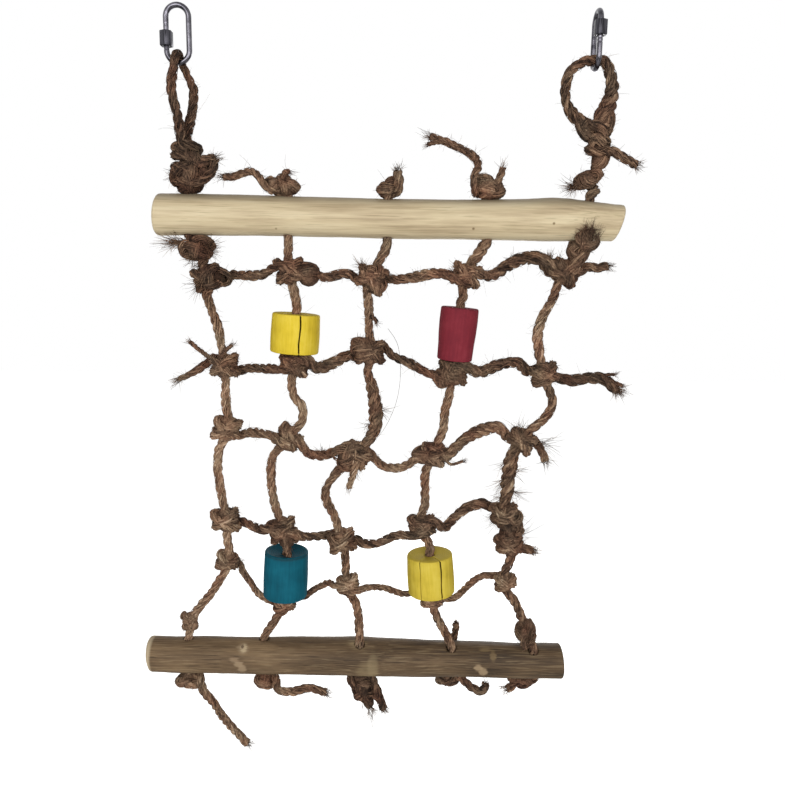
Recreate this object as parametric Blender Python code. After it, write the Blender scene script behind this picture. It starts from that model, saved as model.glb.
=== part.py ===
"""A hanging climbing net for small parrots: two branch perches, a knotted net of coir rope between
them, four dyed wooden beads on the ropes and two steel quick links that clip it to a cage.

Metres, +Z up. The net hangs in the XZ plane and is looked at from the -Y side. The origin is on the
bar that carries both quick links, halfway between them, where the bar touches the inside of a link.
"""

import math

import bmesh
import bpy
from mathutils import Matrix, Vector

# Rope
ROPE_D = 0.0060  # uprights, rows 1 to 4 and the hanging loops
THIN_ROPE_D = 0.0046  # row 5
TOUCH = 0.0003  # gap between pieces that touch
TURN_GAP = 0.0015  # gap between neighbouring turns of one rope
HITCH_GAP = 0.0010  # gap between a rope and its own turns in a stopper
BORE_CLEAR = 0.0007  # around a rope in a drilled hole or a bead, on the radius

# Perches
TOP_PERCH_LENGTH = 0.2930
BOTTOM_PERCH_LENGTH = 0.2880
TOP_PERCH_D = 0.0255
BOTTOM_PERCH_D = 0.0250
BOTTOM_PERCH_SHIFT = -0.0180  # its middle lies to the left of the top perch's
PERCH_EDGE = 0.0016  # worn edge round each sawn end
HANGER_DROP = 0.1225  # from the bar down to the top perch's axis
HOLE_PITCH = 0.0635  # between the five holes of the top perch
FOOT_RISE = 0.0185  # from the bottom perch up to the last fold line

# Quick links
LINK_WIRE = 0.0034
LINK_INNER_WIDTH = 0.0105
LINK_INNER_LENGTH = 0.0297
LINK_GAP = 0.0046  # opening that the sleeve closes
LINK_THREAD = 0.0022  # bare thread under the closed sleeve
LINK_LEFT_X = -0.1300
LINK_RIGHT_X = 0.1260
SLEEVE_LENGTH = 0.0090
SLEEVE_FLATS = 0.0072
SLEEVE_CLEAR = 0.00030

# Beads: outer diameters at the two ends, height, and cracks as (angle, width, depth)
BEAD_EDGE = 0.0012
BEADS = {
    "bead_yellow_upper": {
        "bottom_d": 0.0315,
        "top_d": 0.0310,
        "height": 0.0255,
        "crack": [(-70, 0.0008, 0.007)],
    },
    "bead_red": {"bottom_d": 0.0228, "top_d": 0.0246, "height": 0.0345, "crack": []},
    "bead_teal": {"bottom_d": 0.0300, "top_d": 0.0296, "height": 0.0325, "crack": []},
    "bead_yellow_lower": {
        "bottom_d": 0.0318,
        "top_d": 0.0312,
        "height": 0.0278,
        "crack": [(-65, 0.0016, 0.009), (-118, 0.0008, 0.006)],
    },
}

# Fold lines of the net, as drops below the top perch's axis
FOLD_DROPS = [0.0491, 0.1160, 0.1790, 0.2700]

# Routes of the five uprights, as (x, drop) points in metres. "knot" is where a cross rope is wound round
# the upright, "seat" the same under a bead, whose axis runs up to the "aim" point before it, and "fold"
# gives x where the rope crosses the next fold line.
UPRIGHTS = {
    1: [
        ("knot", -0.1160, 0.0385), ("fold", -0.1163),
        (-0.1140, 0.0580), (-0.1102, 0.0690), (-0.1082, 0.0800), ("knot", -0.1060, 0.0965), ("fold", -0.1058),
        (-0.1055, 0.1240), ("knot", -0.1055, 0.1385), (-0.1108, 0.1520), (-0.1120, 0.1660), ("fold", -0.1105),
        (-0.1095, 0.1870), ("knot", -0.1074, 0.2020), (-0.1068, 0.2160), ("knot", -0.1070, 0.2310),
        (-0.1120, 0.2440), (-0.1195, 0.2560), ("fold", -0.1305),
    ],
    2: [
        (-0.0636, 0.0220), ("knot", -0.0625, 0.0343), ("fold", -0.0595),
        ("aim", -0.0583, 0.0565), ("seat", -0.0605, 0.0937, "bead_yellow_upper"), (-0.0620, 0.1070),
        ("fold", -0.0602),
        (-0.0550, 0.1230), (-0.0552, 0.1320), ("knot", -0.0645, 0.1440), (-0.0745, 0.1560), (-0.0763, 0.1660),
        ("fold", -0.0757),
        (-0.0742, 0.1890), ("knot", -0.0690, 0.2070), ("aim", -0.0660, 0.2190),
        ("seat", -0.0678, 0.2610, "bead_teal"), ("fold", -0.0725),
    ],
    3: [
        (-0.0020, 0.0210), ("knot", -0.0102, 0.0380), ("fold", -0.0122),
        (-0.0114, 0.0610), (-0.0113, 0.0730), ("knot", -0.0106, 0.0857), (-0.0122, 0.0970), (-0.0094, 0.1070),
        ("fold", -0.0074),
        (-0.0064, 0.1240), (-0.0068, 0.1360), ("knot", -0.0180, 0.1540), (-0.0310, 0.1660), ("fold", -0.0392),
        (-0.0362, 0.1890), (-0.0332, 0.2000), ("knot", -0.0285, 0.2150), (-0.0257, 0.2300),
        ("knot", -0.0242, 0.2470), (-0.0200, 0.2580), ("fold", -0.0166),
    ],
    4: [
        (0.0592, 0.0200), ("knot", 0.0508, 0.0355), ("fold", 0.0495),
        ("aim", 0.0478, 0.0522), ("seat", 0.0442, 0.0970, "bead_red"), ("fold", 0.0415),
        (0.0395, 0.1240), (0.0390, 0.1350), ("knot", 0.0325, 0.1535), (0.0276, 0.1660), ("fold", 0.0276),
        (0.0276, 0.1890), ("knot", 0.0262, 0.2035), ("aim", 0.0312, 0.2165),
        ("seat", 0.0342, 0.2570, "bead_yellow_lower"), ("fold", 0.0380),
    ],
    5: [
        ("knot", 0.1140, 0.0320), ("fold", 0.1072),
        (0.1012, 0.0610), (0.0984, 0.0720), (0.0998, 0.0830), ("knot", 0.1040, 0.0983), ("fold", 0.1105),
        (0.1085, 0.1240), (0.1000, 0.1335), ("knot", 0.0912, 0.1430), (0.0850, 0.1560), (0.0835, 0.1680),
        ("fold", 0.0830),
        ("knot", 0.0818, 0.1950), ("knot", 0.0860, 0.2150), (0.0868, 0.2290), ("knot", 0.0846, 0.2435),
        (0.0905, 0.2560), ("fold", 0.0970),
    ],
}
# Loose lumps that a rope makes on itself, as (turns, reach): under the left and the right end of the top
# perch, over its right end, and over the outer holes of the bottom perch
LEFT_LUMP = (1.8, 0.0040)
RIGHT_LUMP = (1.2, 0.0038)
RIGHT_NECK = (2.0, 0.0044)
FOOT_LUMP = (0.8, 0.0024)
KNOT_HOLD = 0.0070  # the upright runs straight this far either side of a knot

# Cross ropes, from left to right. A whole number is a knot on the upright of that number, with the side
# of the upright on which the rope comes and goes (1 behind, -1 in front) and its turns there. A point is
# (x, drop, y).
CROSS_ROPES = [
    [
        (1, 1, 1), (-0.1010, 0.0372, 0.004), (-0.0900, 0.0374, 0.001), (-0.0785, 0.0362, -0.003),
        (2, -1, 1), (-0.0470, 0.0355, -0.004), (-0.0400, 0.0378, 0.000), (-0.0260, 0.0352, 0.004),
        (3, 1, 1), (0.0060, 0.0386, 0.004), (0.0180, 0.0366, 0.000), (0.0330, 0.0340, -0.004),
        (4, -1, 1), (0.0670, 0.0350, -0.004), (0.0770, 0.0285, 0.000), (0.0890, 0.0235, 0.003),
        (0.0985, 0.0215, 0.005),
        (5, 1, 1), (0.1300, 0.0285, 0.006), (0.1365, 0.0290, 0.005), (0.1425, 0.0275, 0.004),
    ],
    [
        (-0.1370, 0.1060, 0.002), (-0.1260, 0.1005, 0.004),
        (1, 1, 1), (-0.0910, 0.0980, 0.004), (-0.0790, 0.0975, 0.000),
        (2, -1, 1), (-0.0450, 0.0960, -0.004), (-0.0350, 0.0935, 0.000), (-0.0260, 0.0890, 0.004),
        (3, 1, 1), (0.0040, 0.0880, 0.005), (0.0140, 0.0920, 0.002), (0.0240, 0.0968, -0.003),
        (4, -1, 1), (0.0610, 0.0995, -0.004), (0.0740, 0.0950, 0.000), (0.0865, 0.0930, 0.004),
        (5, 1, 1),
    ],
    [
        (1, 1, 1), (-0.0905, 0.1415, 0.004), (-0.0815, 0.1410, -0.002),
        (2, -1, 1), (-0.0510, 0.1530, -0.004), (-0.0420, 0.1560, 0.001), (-0.0335, 0.1535, 0.004),
        (3, 1, 1), (-0.0020, 0.1630, 0.005), (0.0080, 0.1635, 0.000), (0.0170, 0.1590, -0.004),
        (4, -1, 1), (0.0460, 0.1490, -0.004), (0.0560, 0.1410, 0.000), (0.0660, 0.1370, 0.003),
        (0.0760, 0.1355, 0.005),
        (5, 1, 1), (0.1045, 0.1490, 0.006), (0.1090, 0.1580, 0.004),
    ],
    [
        (1, 1, 1), (-0.0940, 0.2055, 0.004), (-0.0850, 0.2070, -0.002),
        (2, -1, 1), (-0.0560, 0.2110, -0.004), (-0.0440, 0.2130, 0.002),
        (3, 1, 1), (-0.0140, 0.2190, 0.005), (-0.0040, 0.2170, 0.001), (0.0090, 0.2095, -0.004),
        (4, -1, 1), (0.0405, 0.2030, -0.0050), (0.0480, 0.1975, 0.000), (0.0570, 0.1915, 0.003),
        (0.0680, 0.1890, 0.005),
        (5, 1, 1), (0.0965, 0.2006, 0.0038), (0.0985, 0.2042, -0.002), (0.0938, 0.2080, -0.0064),
    ],
    [
        (1, 1, 1), (-0.0975, 0.2405, 0.004), (-0.0925, 0.2490, 0.006), (-0.0870, 0.2585, 0.007),
        (2, 1, 1), (-0.0560, 0.2600, 0.007), (-0.0475, 0.2530, 0.005), (-0.0370, 0.2460, 0.000),
        (3, -1, 1), (-0.0120, 0.2480, -0.003), (0.0010, 0.2500, 0.002), (0.0140, 0.2560, 0.006),
        (4, 1, 1), (0.0500, 0.2590, 0.007), (0.0560, 0.2535, 0.0065), (0.0620, 0.2460, 0.005),
        (0.0700, 0.2412, 0.005),
        (5, 1, 1),
    ],
]
WRAP_STEPS = 10  # points in one turn round an upright
LEAD = 0.0020  # a rope runs straight this far past the upright that it is wound on

# Stoppers and tails
TOP_TAIL_2 = [
    (-0.0765, -0.0178, -0.0075), (-0.0805, -0.0235, -0.0070), (-0.0850, -0.0268, -0.004),
    (-0.0905, -0.0262, -0.002), (-0.0970, -0.0240, -0.001), (-0.1040, -0.0238, 0.001),
]
TOP_TAIL_4 = [
    (0.0533, -0.0180, -0.0088), (0.0530, -0.0250, -0.0088), (0.0555, -0.0325, -0.0055),
    (0.0530, -0.0380, -0.002), (0.0470, -0.0420, 0.000), (0.0370, -0.0465, 0.000), (0.0255, -0.0498, -0.001),
]
TOP_END_3 = [(0.0100, -0.0165, -0.0070), (0.0104, -0.0215, -0.0095), (0.0095, -0.0275, -0.0085)]
ROW_END_4 = [(0.0950, 0.2210, 0.0066), (0.1030, 0.2220, 0.004)]
ROW_TAIL_2 = [
    (0.1240, 0.1030, 0.005), (0.1330, 0.1010, 0.003), (0.1430, 0.1012, 0.000), (0.1515, 0.1075, -0.002),
]
FOOT_TAIL_1 = [
    (-0.1240, 0.3215, -0.0095), (-0.1172, 0.3326, -0.008), (-0.1122, 0.3444, -0.005),
    (-0.1050, 0.3565, -0.002), (-0.0959, 0.3691, 0.000),
]
FOOT_TAIL_2 = [
    (-0.0720, 0.3205, -0.0095), (-0.0626, 0.3240, -0.007), (-0.0517, 0.3235, -0.003),
    (-0.0395, 0.3285, 0.000),
]
FOOT_END_3 = [(-0.0060, 0.3192, 0.0010), (-0.0025, 0.3265, -0.0030), (0.0020, 0.3380, -0.0040)]
FOOT_END_4 = [
    (0.0582, 0.3182, 0.001), (0.0645, 0.3215, -0.003), (0.0705, 0.3225, -0.005), (0.0730, 0.3165, -0.006),
]
FOOT_END_5 = [(0.0950, 0.3185, 0.0000), (0.0885, 0.3215, -0.0040)]

# Holes of the bottom perch: x, and how far each is rolled towards the viewer
BOTTOM_HOLES = [(-0.1355, 0), (-0.0825, 0), (-0.0154, 22), (0.0482, 22), (0.1050, 28)]

# Shape of each perch: (share of the length, sideways bow, upward bow, share of the diameter)
TOP_PERCH_SHAPE = [
    (-0.50, 0.0000, 0.0000, 1.02), (-0.40, 0.0004, 0.0003, 1.00), (-0.22, 0.0010, 0.0002, 0.98),
    (0.00, 0.0008, -0.0004, 0.97), (0.20, 0.0000, -0.0002, 0.98), (0.32, -0.0004, 0.0004, 1.03),
    (0.37, -0.0004, 0.0008, 1.07), (0.42, 0.0000, 0.0002, 0.98), (0.50, 0.0002, -0.0012, 0.88),
]
BOTTOM_PERCH_SHAPE = [
    (-0.50, 0.0000, 0.0000, 0.97), (-0.30, -0.0006, 0.0004, 0.99), (-0.06, 0.0000, 0.0006, 1.02),
    (0.02, 0.0003, 0.0006, 1.10), (0.07, 0.0003, 0.0002, 1.02), (0.24, 0.0006, -0.0004, 0.97),
    (0.40, 0.0000, -0.0006, 0.95), (0.50, -0.0003, -0.0002, 0.94),
]
TOP_PERCH_CUTS = (4, -14)  # lean of the left and right saw cuts, in degrees
BOTTOM_PERCH_CUTS = (-6, 3)

# Places worked out from the sizes above
ROPE_R = ROPE_D / 2
PERCH_Z = -HANGER_DROP
TOP_R = TOP_PERCH_D / 2
BOTTOM_R = BOTTOM_PERCH_D / 2
BOTTOM_PERCH_DROP = FOLD_DROPS[-1] + FOOT_RISE + BOTTOM_R
LINK_LOW_Z = -LINK_INNER_LENGTH - LINK_WIRE / 2
LINK_HALF = (LINK_INNER_WIDTH + LINK_WIRE) / 2
SLEEVE_LOW_Z = LINK_LOW_Z + LINK_HALF + LINK_THREAD + SLEEVE_LENGTH / 2
SLEEVE_HIGH_Z = LINK_WIRE / 2 - LINK_HALF - SLEEVE_LENGTH / 2
LOOP_REACH = LINK_WIRE / 2 + ROPE_R + TOUCH
SWING_LEFT = Vector((LINK_LEFT_X, 0, LINK_LOW_Z))
SWING_RIGHT = Vector((LINK_RIGHT_X, 0, LINK_LOW_Z + LOOP_REACH))
UP = Vector((0, 0, 1))


def at(x, drop, y=0.0):
    """A point given by its drop below the top perch's axis."""
    return Vector((x, y, PERCH_Z - drop))


def clear_scene():
    for obj in list(bpy.data.objects):
        bpy.data.objects.remove(obj, do_unlink=True)


def material(name, colour, roughness, metallic=0.0):
    mat = bpy.data.materials.new(name)
    mat.use_nodes = True
    shader = mat.node_tree.nodes["Principled BSDF"]
    shader.inputs["Base Color"].default_value = (*colour, 1)
    shader.inputs["Roughness"].default_value = roughness
    shader.inputs["Metallic"].default_value = metallic
    mat.diffuse_color = (*colour, 1)
    return mat


def link_object(name, data, parent=None, mat=None):
    obj = bpy.data.objects.new(name, data)
    bpy.context.scene.collection.objects.link(obj)
    if parent:
        obj.parent = parent
    if mat:
        data.materials.append(mat)
    return obj


def empty(name, place, parent=None):
    """A joint's frame: an unturned empty on the joint's axis."""
    obj = link_object(name, None, parent)
    obj.location = place - place_of(parent)
    obj["place"] = place
    return obj


def place_of(frame):
    return Vector(list(frame["place"])) if frame else Vector()


def smooth_route(points, step):
    """Points on one smooth curve through the route, at most a step apart where it is long."""
    ends = [points[0] * 2 - points[1], *points, points[-1] * 2 - points[-2]]
    route = [points[0]]
    for i in range(len(points) - 1):
        a, b, c, d = ends[i : i + 4]
        knots = [0.0]
        for p, q in ((a, b), (b, c), (c, d)):
            knots.append(knots[-1] + max((q - p).length, 1e-6) ** 0.5)
        pieces = max(1, math.ceil((c - b).length / step))
        for n in range(1, pieces + 1):
            t = knots[1] + (knots[2] - knots[1]) * n / pieces
            ab = a.lerp(b, (t - knots[0]) / (knots[1] - knots[0]))
            bc = b.lerp(c, (t - knots[1]) / (knots[2] - knots[1]))
            cd = c.lerp(d, (t - knots[2]) / (knots[3] - knots[2]))
            abc = ab.lerp(bc, (t - knots[0]) / (knots[2] - knots[0]))
            bcd = bc.lerp(cd, (t - knots[1]) / (knots[3] - knots[1]))
            route.append(abc.lerp(bcd, (t - knots[1]) / (knots[2] - knots[1])))
    return route


def across(axis, towards):
    """Two directions across an axis, the first as near as can be to the given one."""
    first = (towards - axis * towards.dot(axis)).normalized()
    return first, axis.cross(first)


def wrap(centre, axis, side, turns, around, diameter, rise=-1, leads=(True, True), heading=1):
    """Turns of a rope that comes heading along X, wound round a rope of diameter around.

    It winds up the axis where rise is 1 and down it where rise is -1, and runs straight past the
    axis before and after its turns where leads says so.
    """
    first, second = across(axis, Vector((heading, 0, 0)))
    reach = ((around + diameter) / 2 + TOUCH) / math.cos(math.pi / WRAP_STEPS)
    height = (diameter + TURN_GAP) * turns * rise
    points = []
    count = round(WRAP_STEPS * turns)
    for n in range(count + 1):
        share = n / count
        angle = side * (math.pi / 2 - 2 * math.pi * turns * share)
        out = first * math.cos(angle) + second * math.sin(angle)
        points.append(centre + out * reach + axis * height * (share - 0.5))
    before = [points[0] - first * (reach + LEAD)] if leads[0] else []
    after = [points[-1] + first * (reach + LEAD)] if leads[1] else []
    return before + points + after


def shorter_wrap(come, go, centre, axis, side, turns, around, diameter, leads):
    """The wrap, wound up or down the axis, that lies better between the points before and after it."""
    ways = [wrap(centre, axis, side, turns, around, diameter, rise, leads) for rise in (1, -1)]
    return min(ways, key=lambda points: (points[0] - come).length + (points[-1] - go).length)


def coil(start, end, turns, reach, towards):
    """A rope's own loose turns about the line from start to end, which it leaves and joins again."""
    axis = (end - start).normalized()
    first, second = across(axis, towards)
    points = []
    count = round(WRAP_STEPS * turns)
    for n in range(count + 1):
        share = n / count
        angle = 2 * math.pi * turns * share
        ease = min(1.0, share / 0.25, (1 - share) / 0.25)
        swing = reach * ease * ease * (3 - 2 * ease)
        out = first * math.cos(angle) + second * math.sin(angle)
        points.append(start.lerp(end, share) + out * swing)
    return points


def hitch(start, axis, towards, turns, turn_way=1):
    """A stopper: the rope runs out along the axis, turns back and winds round itself."""
    first, second = across(axis, towards)
    reach = (ROPE_D + HITCH_GAP) / math.cos(math.pi / WRAP_STEPS)
    pitch = ROPE_D + HITCH_GAP
    run = pitch * turns + ROPE_R + TOUCH
    points = [start + axis * run * 0.5, start + axis * run]
    for n in range(1, 6):
        angle = math.pi * n / 6
        out = first * reach / 2 * (1 - math.cos(angle))
        points.append(start + axis * (run + reach / 2 * math.sin(angle)) + out)
    count = round(WRAP_STEPS * turns)
    for n in range(count + 1):
        share = n / count
        angle = turn_way * 2 * math.pi * turns * share
        out = first * math.cos(angle) + second * math.sin(angle)
        points.append(start + out * reach + axis * (run - pitch * turns * share))
    return points


def least_gap(points, diameter):
    """The smallest gap between stretches of one rope that are not neighbours along it."""
    spots, along, run = [], [], 0.0
    for a, b in zip(points, points[1:]):
        pieces = max(1, math.ceil((b - a).length / 0.0012))
        for n in range(pieces):
            spots.append(a.lerp(b, n / pieces))
            along.append(run + (b - a).length * n / pieces)
        run += (b - a).length
    gaps = [
        (spots[i] - spots[j]).length - diameter
        for i in range(len(spots))
        for j in range(i)
        if along[i] - along[j] > 1.7 * diameter
    ]
    return min(gaps)


def rope(name, points, diameter, frame, mat, sides=1, ball_end=False, wound=True):
    """A tube along the points. A ball end is a half round about the last point, which is on a fold line."""
    origin = place_of(frame)
    radius = diameter / 2
    places = [(p, 1.0) for p in points]
    if ball_end:
        ahead = (points[-1] - points[-2]).normalized()
        for angle in (30, 60, 80):
            turn = math.radians(angle)
            places.append((points[-1] + ahead * radius * math.sin(turn), math.cos(turn)))
    data = bpy.data.curves.new(name, "CURVE")
    data.dimensions = "3D"
    data.bevel_depth = radius
    data.bevel_resolution = sides
    data.use_fill_caps = True
    spline = data.splines.new("POLY")
    spline.points.add(len(places) - 1)
    for point, (place, share) in zip(spline.points, places):
        point.co = (*(place - origin), 1)
        point.radius = share
    if wound:
        print(f"{name}: least gap to itself {1000 * least_gap(points, diameter):.2f} mm")
    return link_object(name, data, frame, mat)


def mesh_object(name, bm, frame, mat):
    data = bpy.data.meshes.new(name)
    bm.to_mesh(data)
    bm.free()
    data.shade_smooth()
    data.set_sharp_from_angle(angle=math.radians(40))
    return link_object(name, data, frame, mat)


def cut(obj, cutter):
    """Takes a helper's shape out of an object."""
    cutter.hide_render = True
    cutter.display_type = "WIRE"
    modifier = obj.modifiers.new("cut_" + cutter.name, "BOOLEAN")
    modifier.operation = "DIFFERENCE"
    modifier.solver = "EXACT"
    modifier.object = cutter


def hole_cutter(name, holes, radius, length, frame):
    """One helper with a round bar for each hole, given as (centre, axis)."""
    bm = bmesh.new()
    for centre, axis in holes:
        turn = UP.rotation_difference(axis).to_matrix().to_4x4()
        bmesh.ops.create_cone(
            bm, cap_ends=True, segments=12, radius1=radius, radius2=radius, depth=length,
            matrix=Matrix.Translation(centre - place_of(frame)) @ turn,
        )
    return mesh_object(name, bm, frame, None)


def perch(name, centre, length, diameter, shape, cuts, holes, frame, mat):
    """A natural branch: a bowed, swelling bar with leaning saw cuts, worn edges and drilled holes."""
    spare = 0.06
    data = bpy.data.curves.new(name, "CURVE")
    data.dimensions = "3D"
    data.bevel_depth = diameter / 2
    data.bevel_resolution = 6
    data.use_fill_caps = True
    spline = data.splines.new("POLY")
    stations = [Vector((s * length, y, z)) for s, y, z, _ in shape]
    stations[0].x -= spare * length
    stations[-1].x += spare * length
    spline.points.add(len(stations) - 1)
    for point, place, (_, _, _, share) in zip(spline.points, stations, shape):
        point.co = (*(centre + place - place_of(frame)), 1)
        point.radius = share
    bar = link_object(name + "_bar", data)
    mesh = bpy.data.meshes.new_from_object(bar.evaluated_get(bpy.context.evaluated_depsgraph_get()))
    bpy.data.objects.remove(bar, do_unlink=True)
    bm = bmesh.new()
    bm.from_mesh(mesh)
    bmesh.ops.remove_doubles(bm, verts=bm.verts, dist=1e-6)
    for way, lean in zip((-1, 1), cuts):
        normal = Vector((way * math.cos(math.radians(lean)), 0, math.sin(math.radians(lean))))
        spot = centre - place_of(frame) + Vector((way * length / 2, 0, 0))
        cut_faces = bmesh.ops.bisect_plane(
            bm,
            geom=bm.verts[:] + bm.edges[:] + bm.faces[:],
            plane_co=spot,
            plane_no=normal,
            clear_outer=True,
        )
        rim = [e for e in cut_faces["geom_cut"] if isinstance(e, bmesh.types.BMEdge)]
        bmesh.ops.contextual_create(bm, geom=rim)
    bmesh.ops.recalc_face_normals(bm, faces=bm.faces)
    obj = mesh_object(name, bm, frame, mat)
    edge = obj.modifiers.new("worn_edges", "BEVEL")
    edge.width = PERCH_EDGE
    edge.segments = 2
    edge.limit_method = "ANGLE"
    edge.angle_limit = math.radians(50)
    cut(obj, hole_cutter(name + "_drill", holes, ROPE_R + BORE_CLEAR, 3 * diameter, frame))
    return obj


def perch_radius(shape, diameter, share):
    """The radius of a perch at a share of its length from its middle."""
    for (a, _, _, low), (b, _, _, high) in zip(shape, shape[1:]):
        if a <= share <= b:
            return diameter / 2 * (low + (high - low) * (share - a) / (b - a))
    return diameter / 2


def bead(name, base, axis, size, frame, mat):
    """A drum sawn from a dowel, bored for the rope, with its drying cracks."""
    bore = ROPE_R + BORE_CLEAR
    low, high, tall = size["bottom_d"] / 2, size["top_d"] / 2, size["height"]
    profile = [
        (bore, 0), (low - BEAD_EDGE, 0), (low, BEAD_EDGE), ((low + high) / 2 + 0.0003, tall / 2),
        (high, tall - BEAD_EDGE), (high - BEAD_EDGE, tall), (bore, tall),
    ]
    bm = bmesh.new()
    verts = [bm.verts.new((r, 0, z)) for r, z in profile]
    edges = [bm.edges.new((a, b)) for a, b in zip(verts, verts[1:] + verts[:1])]
    bmesh.ops.spin(
        bm, geom=verts + edges, cent=(0, 0, 0), axis=(0, 0, 1), angle=2 * math.pi, steps=20, use_merge=True,
    )
    bmesh.ops.remove_doubles(bm, verts=bm.verts, dist=1e-6)
    bmesh.ops.recalc_face_normals(bm, faces=bm.faces)
    obj = mesh_object(name, bm, frame, mat)
    obj.location = base - place_of(frame)
    obj.rotation_mode = "QUATERNION"
    obj.rotation_quaternion = UP.rotation_difference(axis)
    for n, (angle, width, depth) in enumerate(size["crack"], 1):
        wedge = bmesh.new()
        bmesh.ops.create_cube(wedge, size=1)
        reach = max(low, high) + depth
        bmesh.ops.scale(wedge, verts=wedge.verts, vec=(2 * depth, width, 2 * tall))
        for vert in wedge.verts:
            if vert.co.x < 0:
                vert.co.y *= 0.25
        bmesh.ops.translate(wedge, verts=wedge.verts, vec=(reach - depth, 0, tall / 2))
        bmesh.ops.rotate(wedge, verts=wedge.verts, matrix=Matrix.Rotation(math.radians(angle), 3, "Z"))
        cutter = mesh_object(f"{name}_crack_{n}", wedge, None, None)
        cutter.parent = obj
        cut(obj, cutter)
    return obj


def quick_link(name, x, face, sleeve_z, frame, mat):
    """An oval wire link, open on one side where the sleeve bridges its two threaded ends."""
    half = LINK_HALF
    top = LINK_WIRE / 2 - half
    low = LINK_LOW_Z + half
    gap_low, gap_high = sleeve_z - LINK_GAP / 2, sleeve_z + LINK_GAP / 2
    spots = [(-half, gap_high), (-half, top)]
    for angle in range(160, 0, -20):
        turn = math.radians(angle)
        spots.append((half * math.cos(turn), top + half * math.sin(turn)))
    spots += [(half, top), (half, low)]
    for angle in range(-20, -180, -20):
        turn = math.radians(angle)
        spots.append((half * math.cos(turn), low + half * math.sin(turn)))
    spots += [(-half, low), (-half, gap_low)]
    points = [Vector((x, 0, 0)) + face * s + UP * z for s, z in spots]
    return rope(name, points, LINK_WIRE, frame, mat, sides=2, wound=False)


def link_sleeve(name, x, face, sleeve_z, frame, mat):
    """A hexagon sleeve nut round the open side, its middle on the gap."""
    bm = bmesh.new()
    corner = SLEEVE_FLATS / math.sqrt(3)
    bmesh.ops.create_cone(bm, cap_ends=True, segments=6, radius1=corner, radius2=corner, depth=SLEEVE_LENGTH)
    rims = [e for e in bm.edges if abs(e.verts[0].co.z - e.verts[1].co.z) < 1e-6]
    bmesh.ops.bevel(bm, geom=rims, offset=0.0006, segments=1, affect="EDGES")
    middle = Vector((x, 0, sleeve_z)) - face * LINK_HALF
    obj = mesh_object(name, bm, frame, mat)
    obj.location = middle - place_of(frame)
    drill = bmesh.new()
    bore = LINK_WIRE / 2 + SLEEVE_CLEAR
    bmesh.ops.create_cone(
        drill, cap_ends=True, segments=12, radius1=bore, radius2=bore, depth=2 * SLEEVE_LENGTH,
    )
    cutter = mesh_object(name + "_drill", drill, None, None)
    cutter.parent = obj
    cut(obj, cutter)
    return obj


def bead_seat(knot, aim, size, cross):
    """The axis of a bead that stands on a knot, and its base."""
    axis = (aim - knot).normalized()
    rise = (cross + TURN_GAP) / 2 + cross / 2 + TOUCH
    return axis, knot + axis * rise


def follow_upright(column):
    """An upright's stretches between fold lines, its knots as (centre, axis), its folds and its beads."""
    stretches, knots, folds, beads = [[]], [], [], {}
    items = UPRIGHTS[column]
    spots = []
    for item in items:
        if item[0] == "fold":
            spots.append(at(item[1], FOLD_DROPS[len(folds)]))
            folds.append(spots[-1])
        else:
            spots.append(at(*(item[1:3] if isinstance(item[0], str) else item)))
    ahead = at((column - 3) * HOLE_PITCH, TOP_R)
    for i, item in enumerate(items):
        kind = item[0] if isinstance(item[0], str) else "bend"
        here = spots[i]
        before = spots[i - 1] if i else ahead
        if kind == "fold":
            stretches[-1].append(here)
            stretches.append([here])
        elif kind == "knot":
            axis = (before - spots[i + 1]).normalized()
            stretches[-1] += [here + axis * KNOT_HOLD, here, here - axis * KNOT_HOLD]
            knots.append((here, axis))
        elif kind == "seat":
            size = BEADS[item[3]]
            cross = THIN_ROPE_D if len(folds) == 3 else ROPE_D
            axis, base = bead_seat(here, before, size, cross)
            top = base + axis * size["height"]
            stretches[-1] += [top, top - axis * KNOT_HOLD, here + axis * KNOT_HOLD]
            stretches[-1] += [here, here - axis * KNOT_HOLD * 0.7]
            knots.append((here, axis))
            beads[item[3]] = (base, axis)
        else:
            stretches[-1].append(here)
    return stretches[:-1], knots, folds, beads


def below(fold, first):
    """Where the stretch under a fold line starts: square to it, just clear of the ball end above."""
    return fold + (first - fold).normalized() * (ROPE_R + TOUCH)


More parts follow.
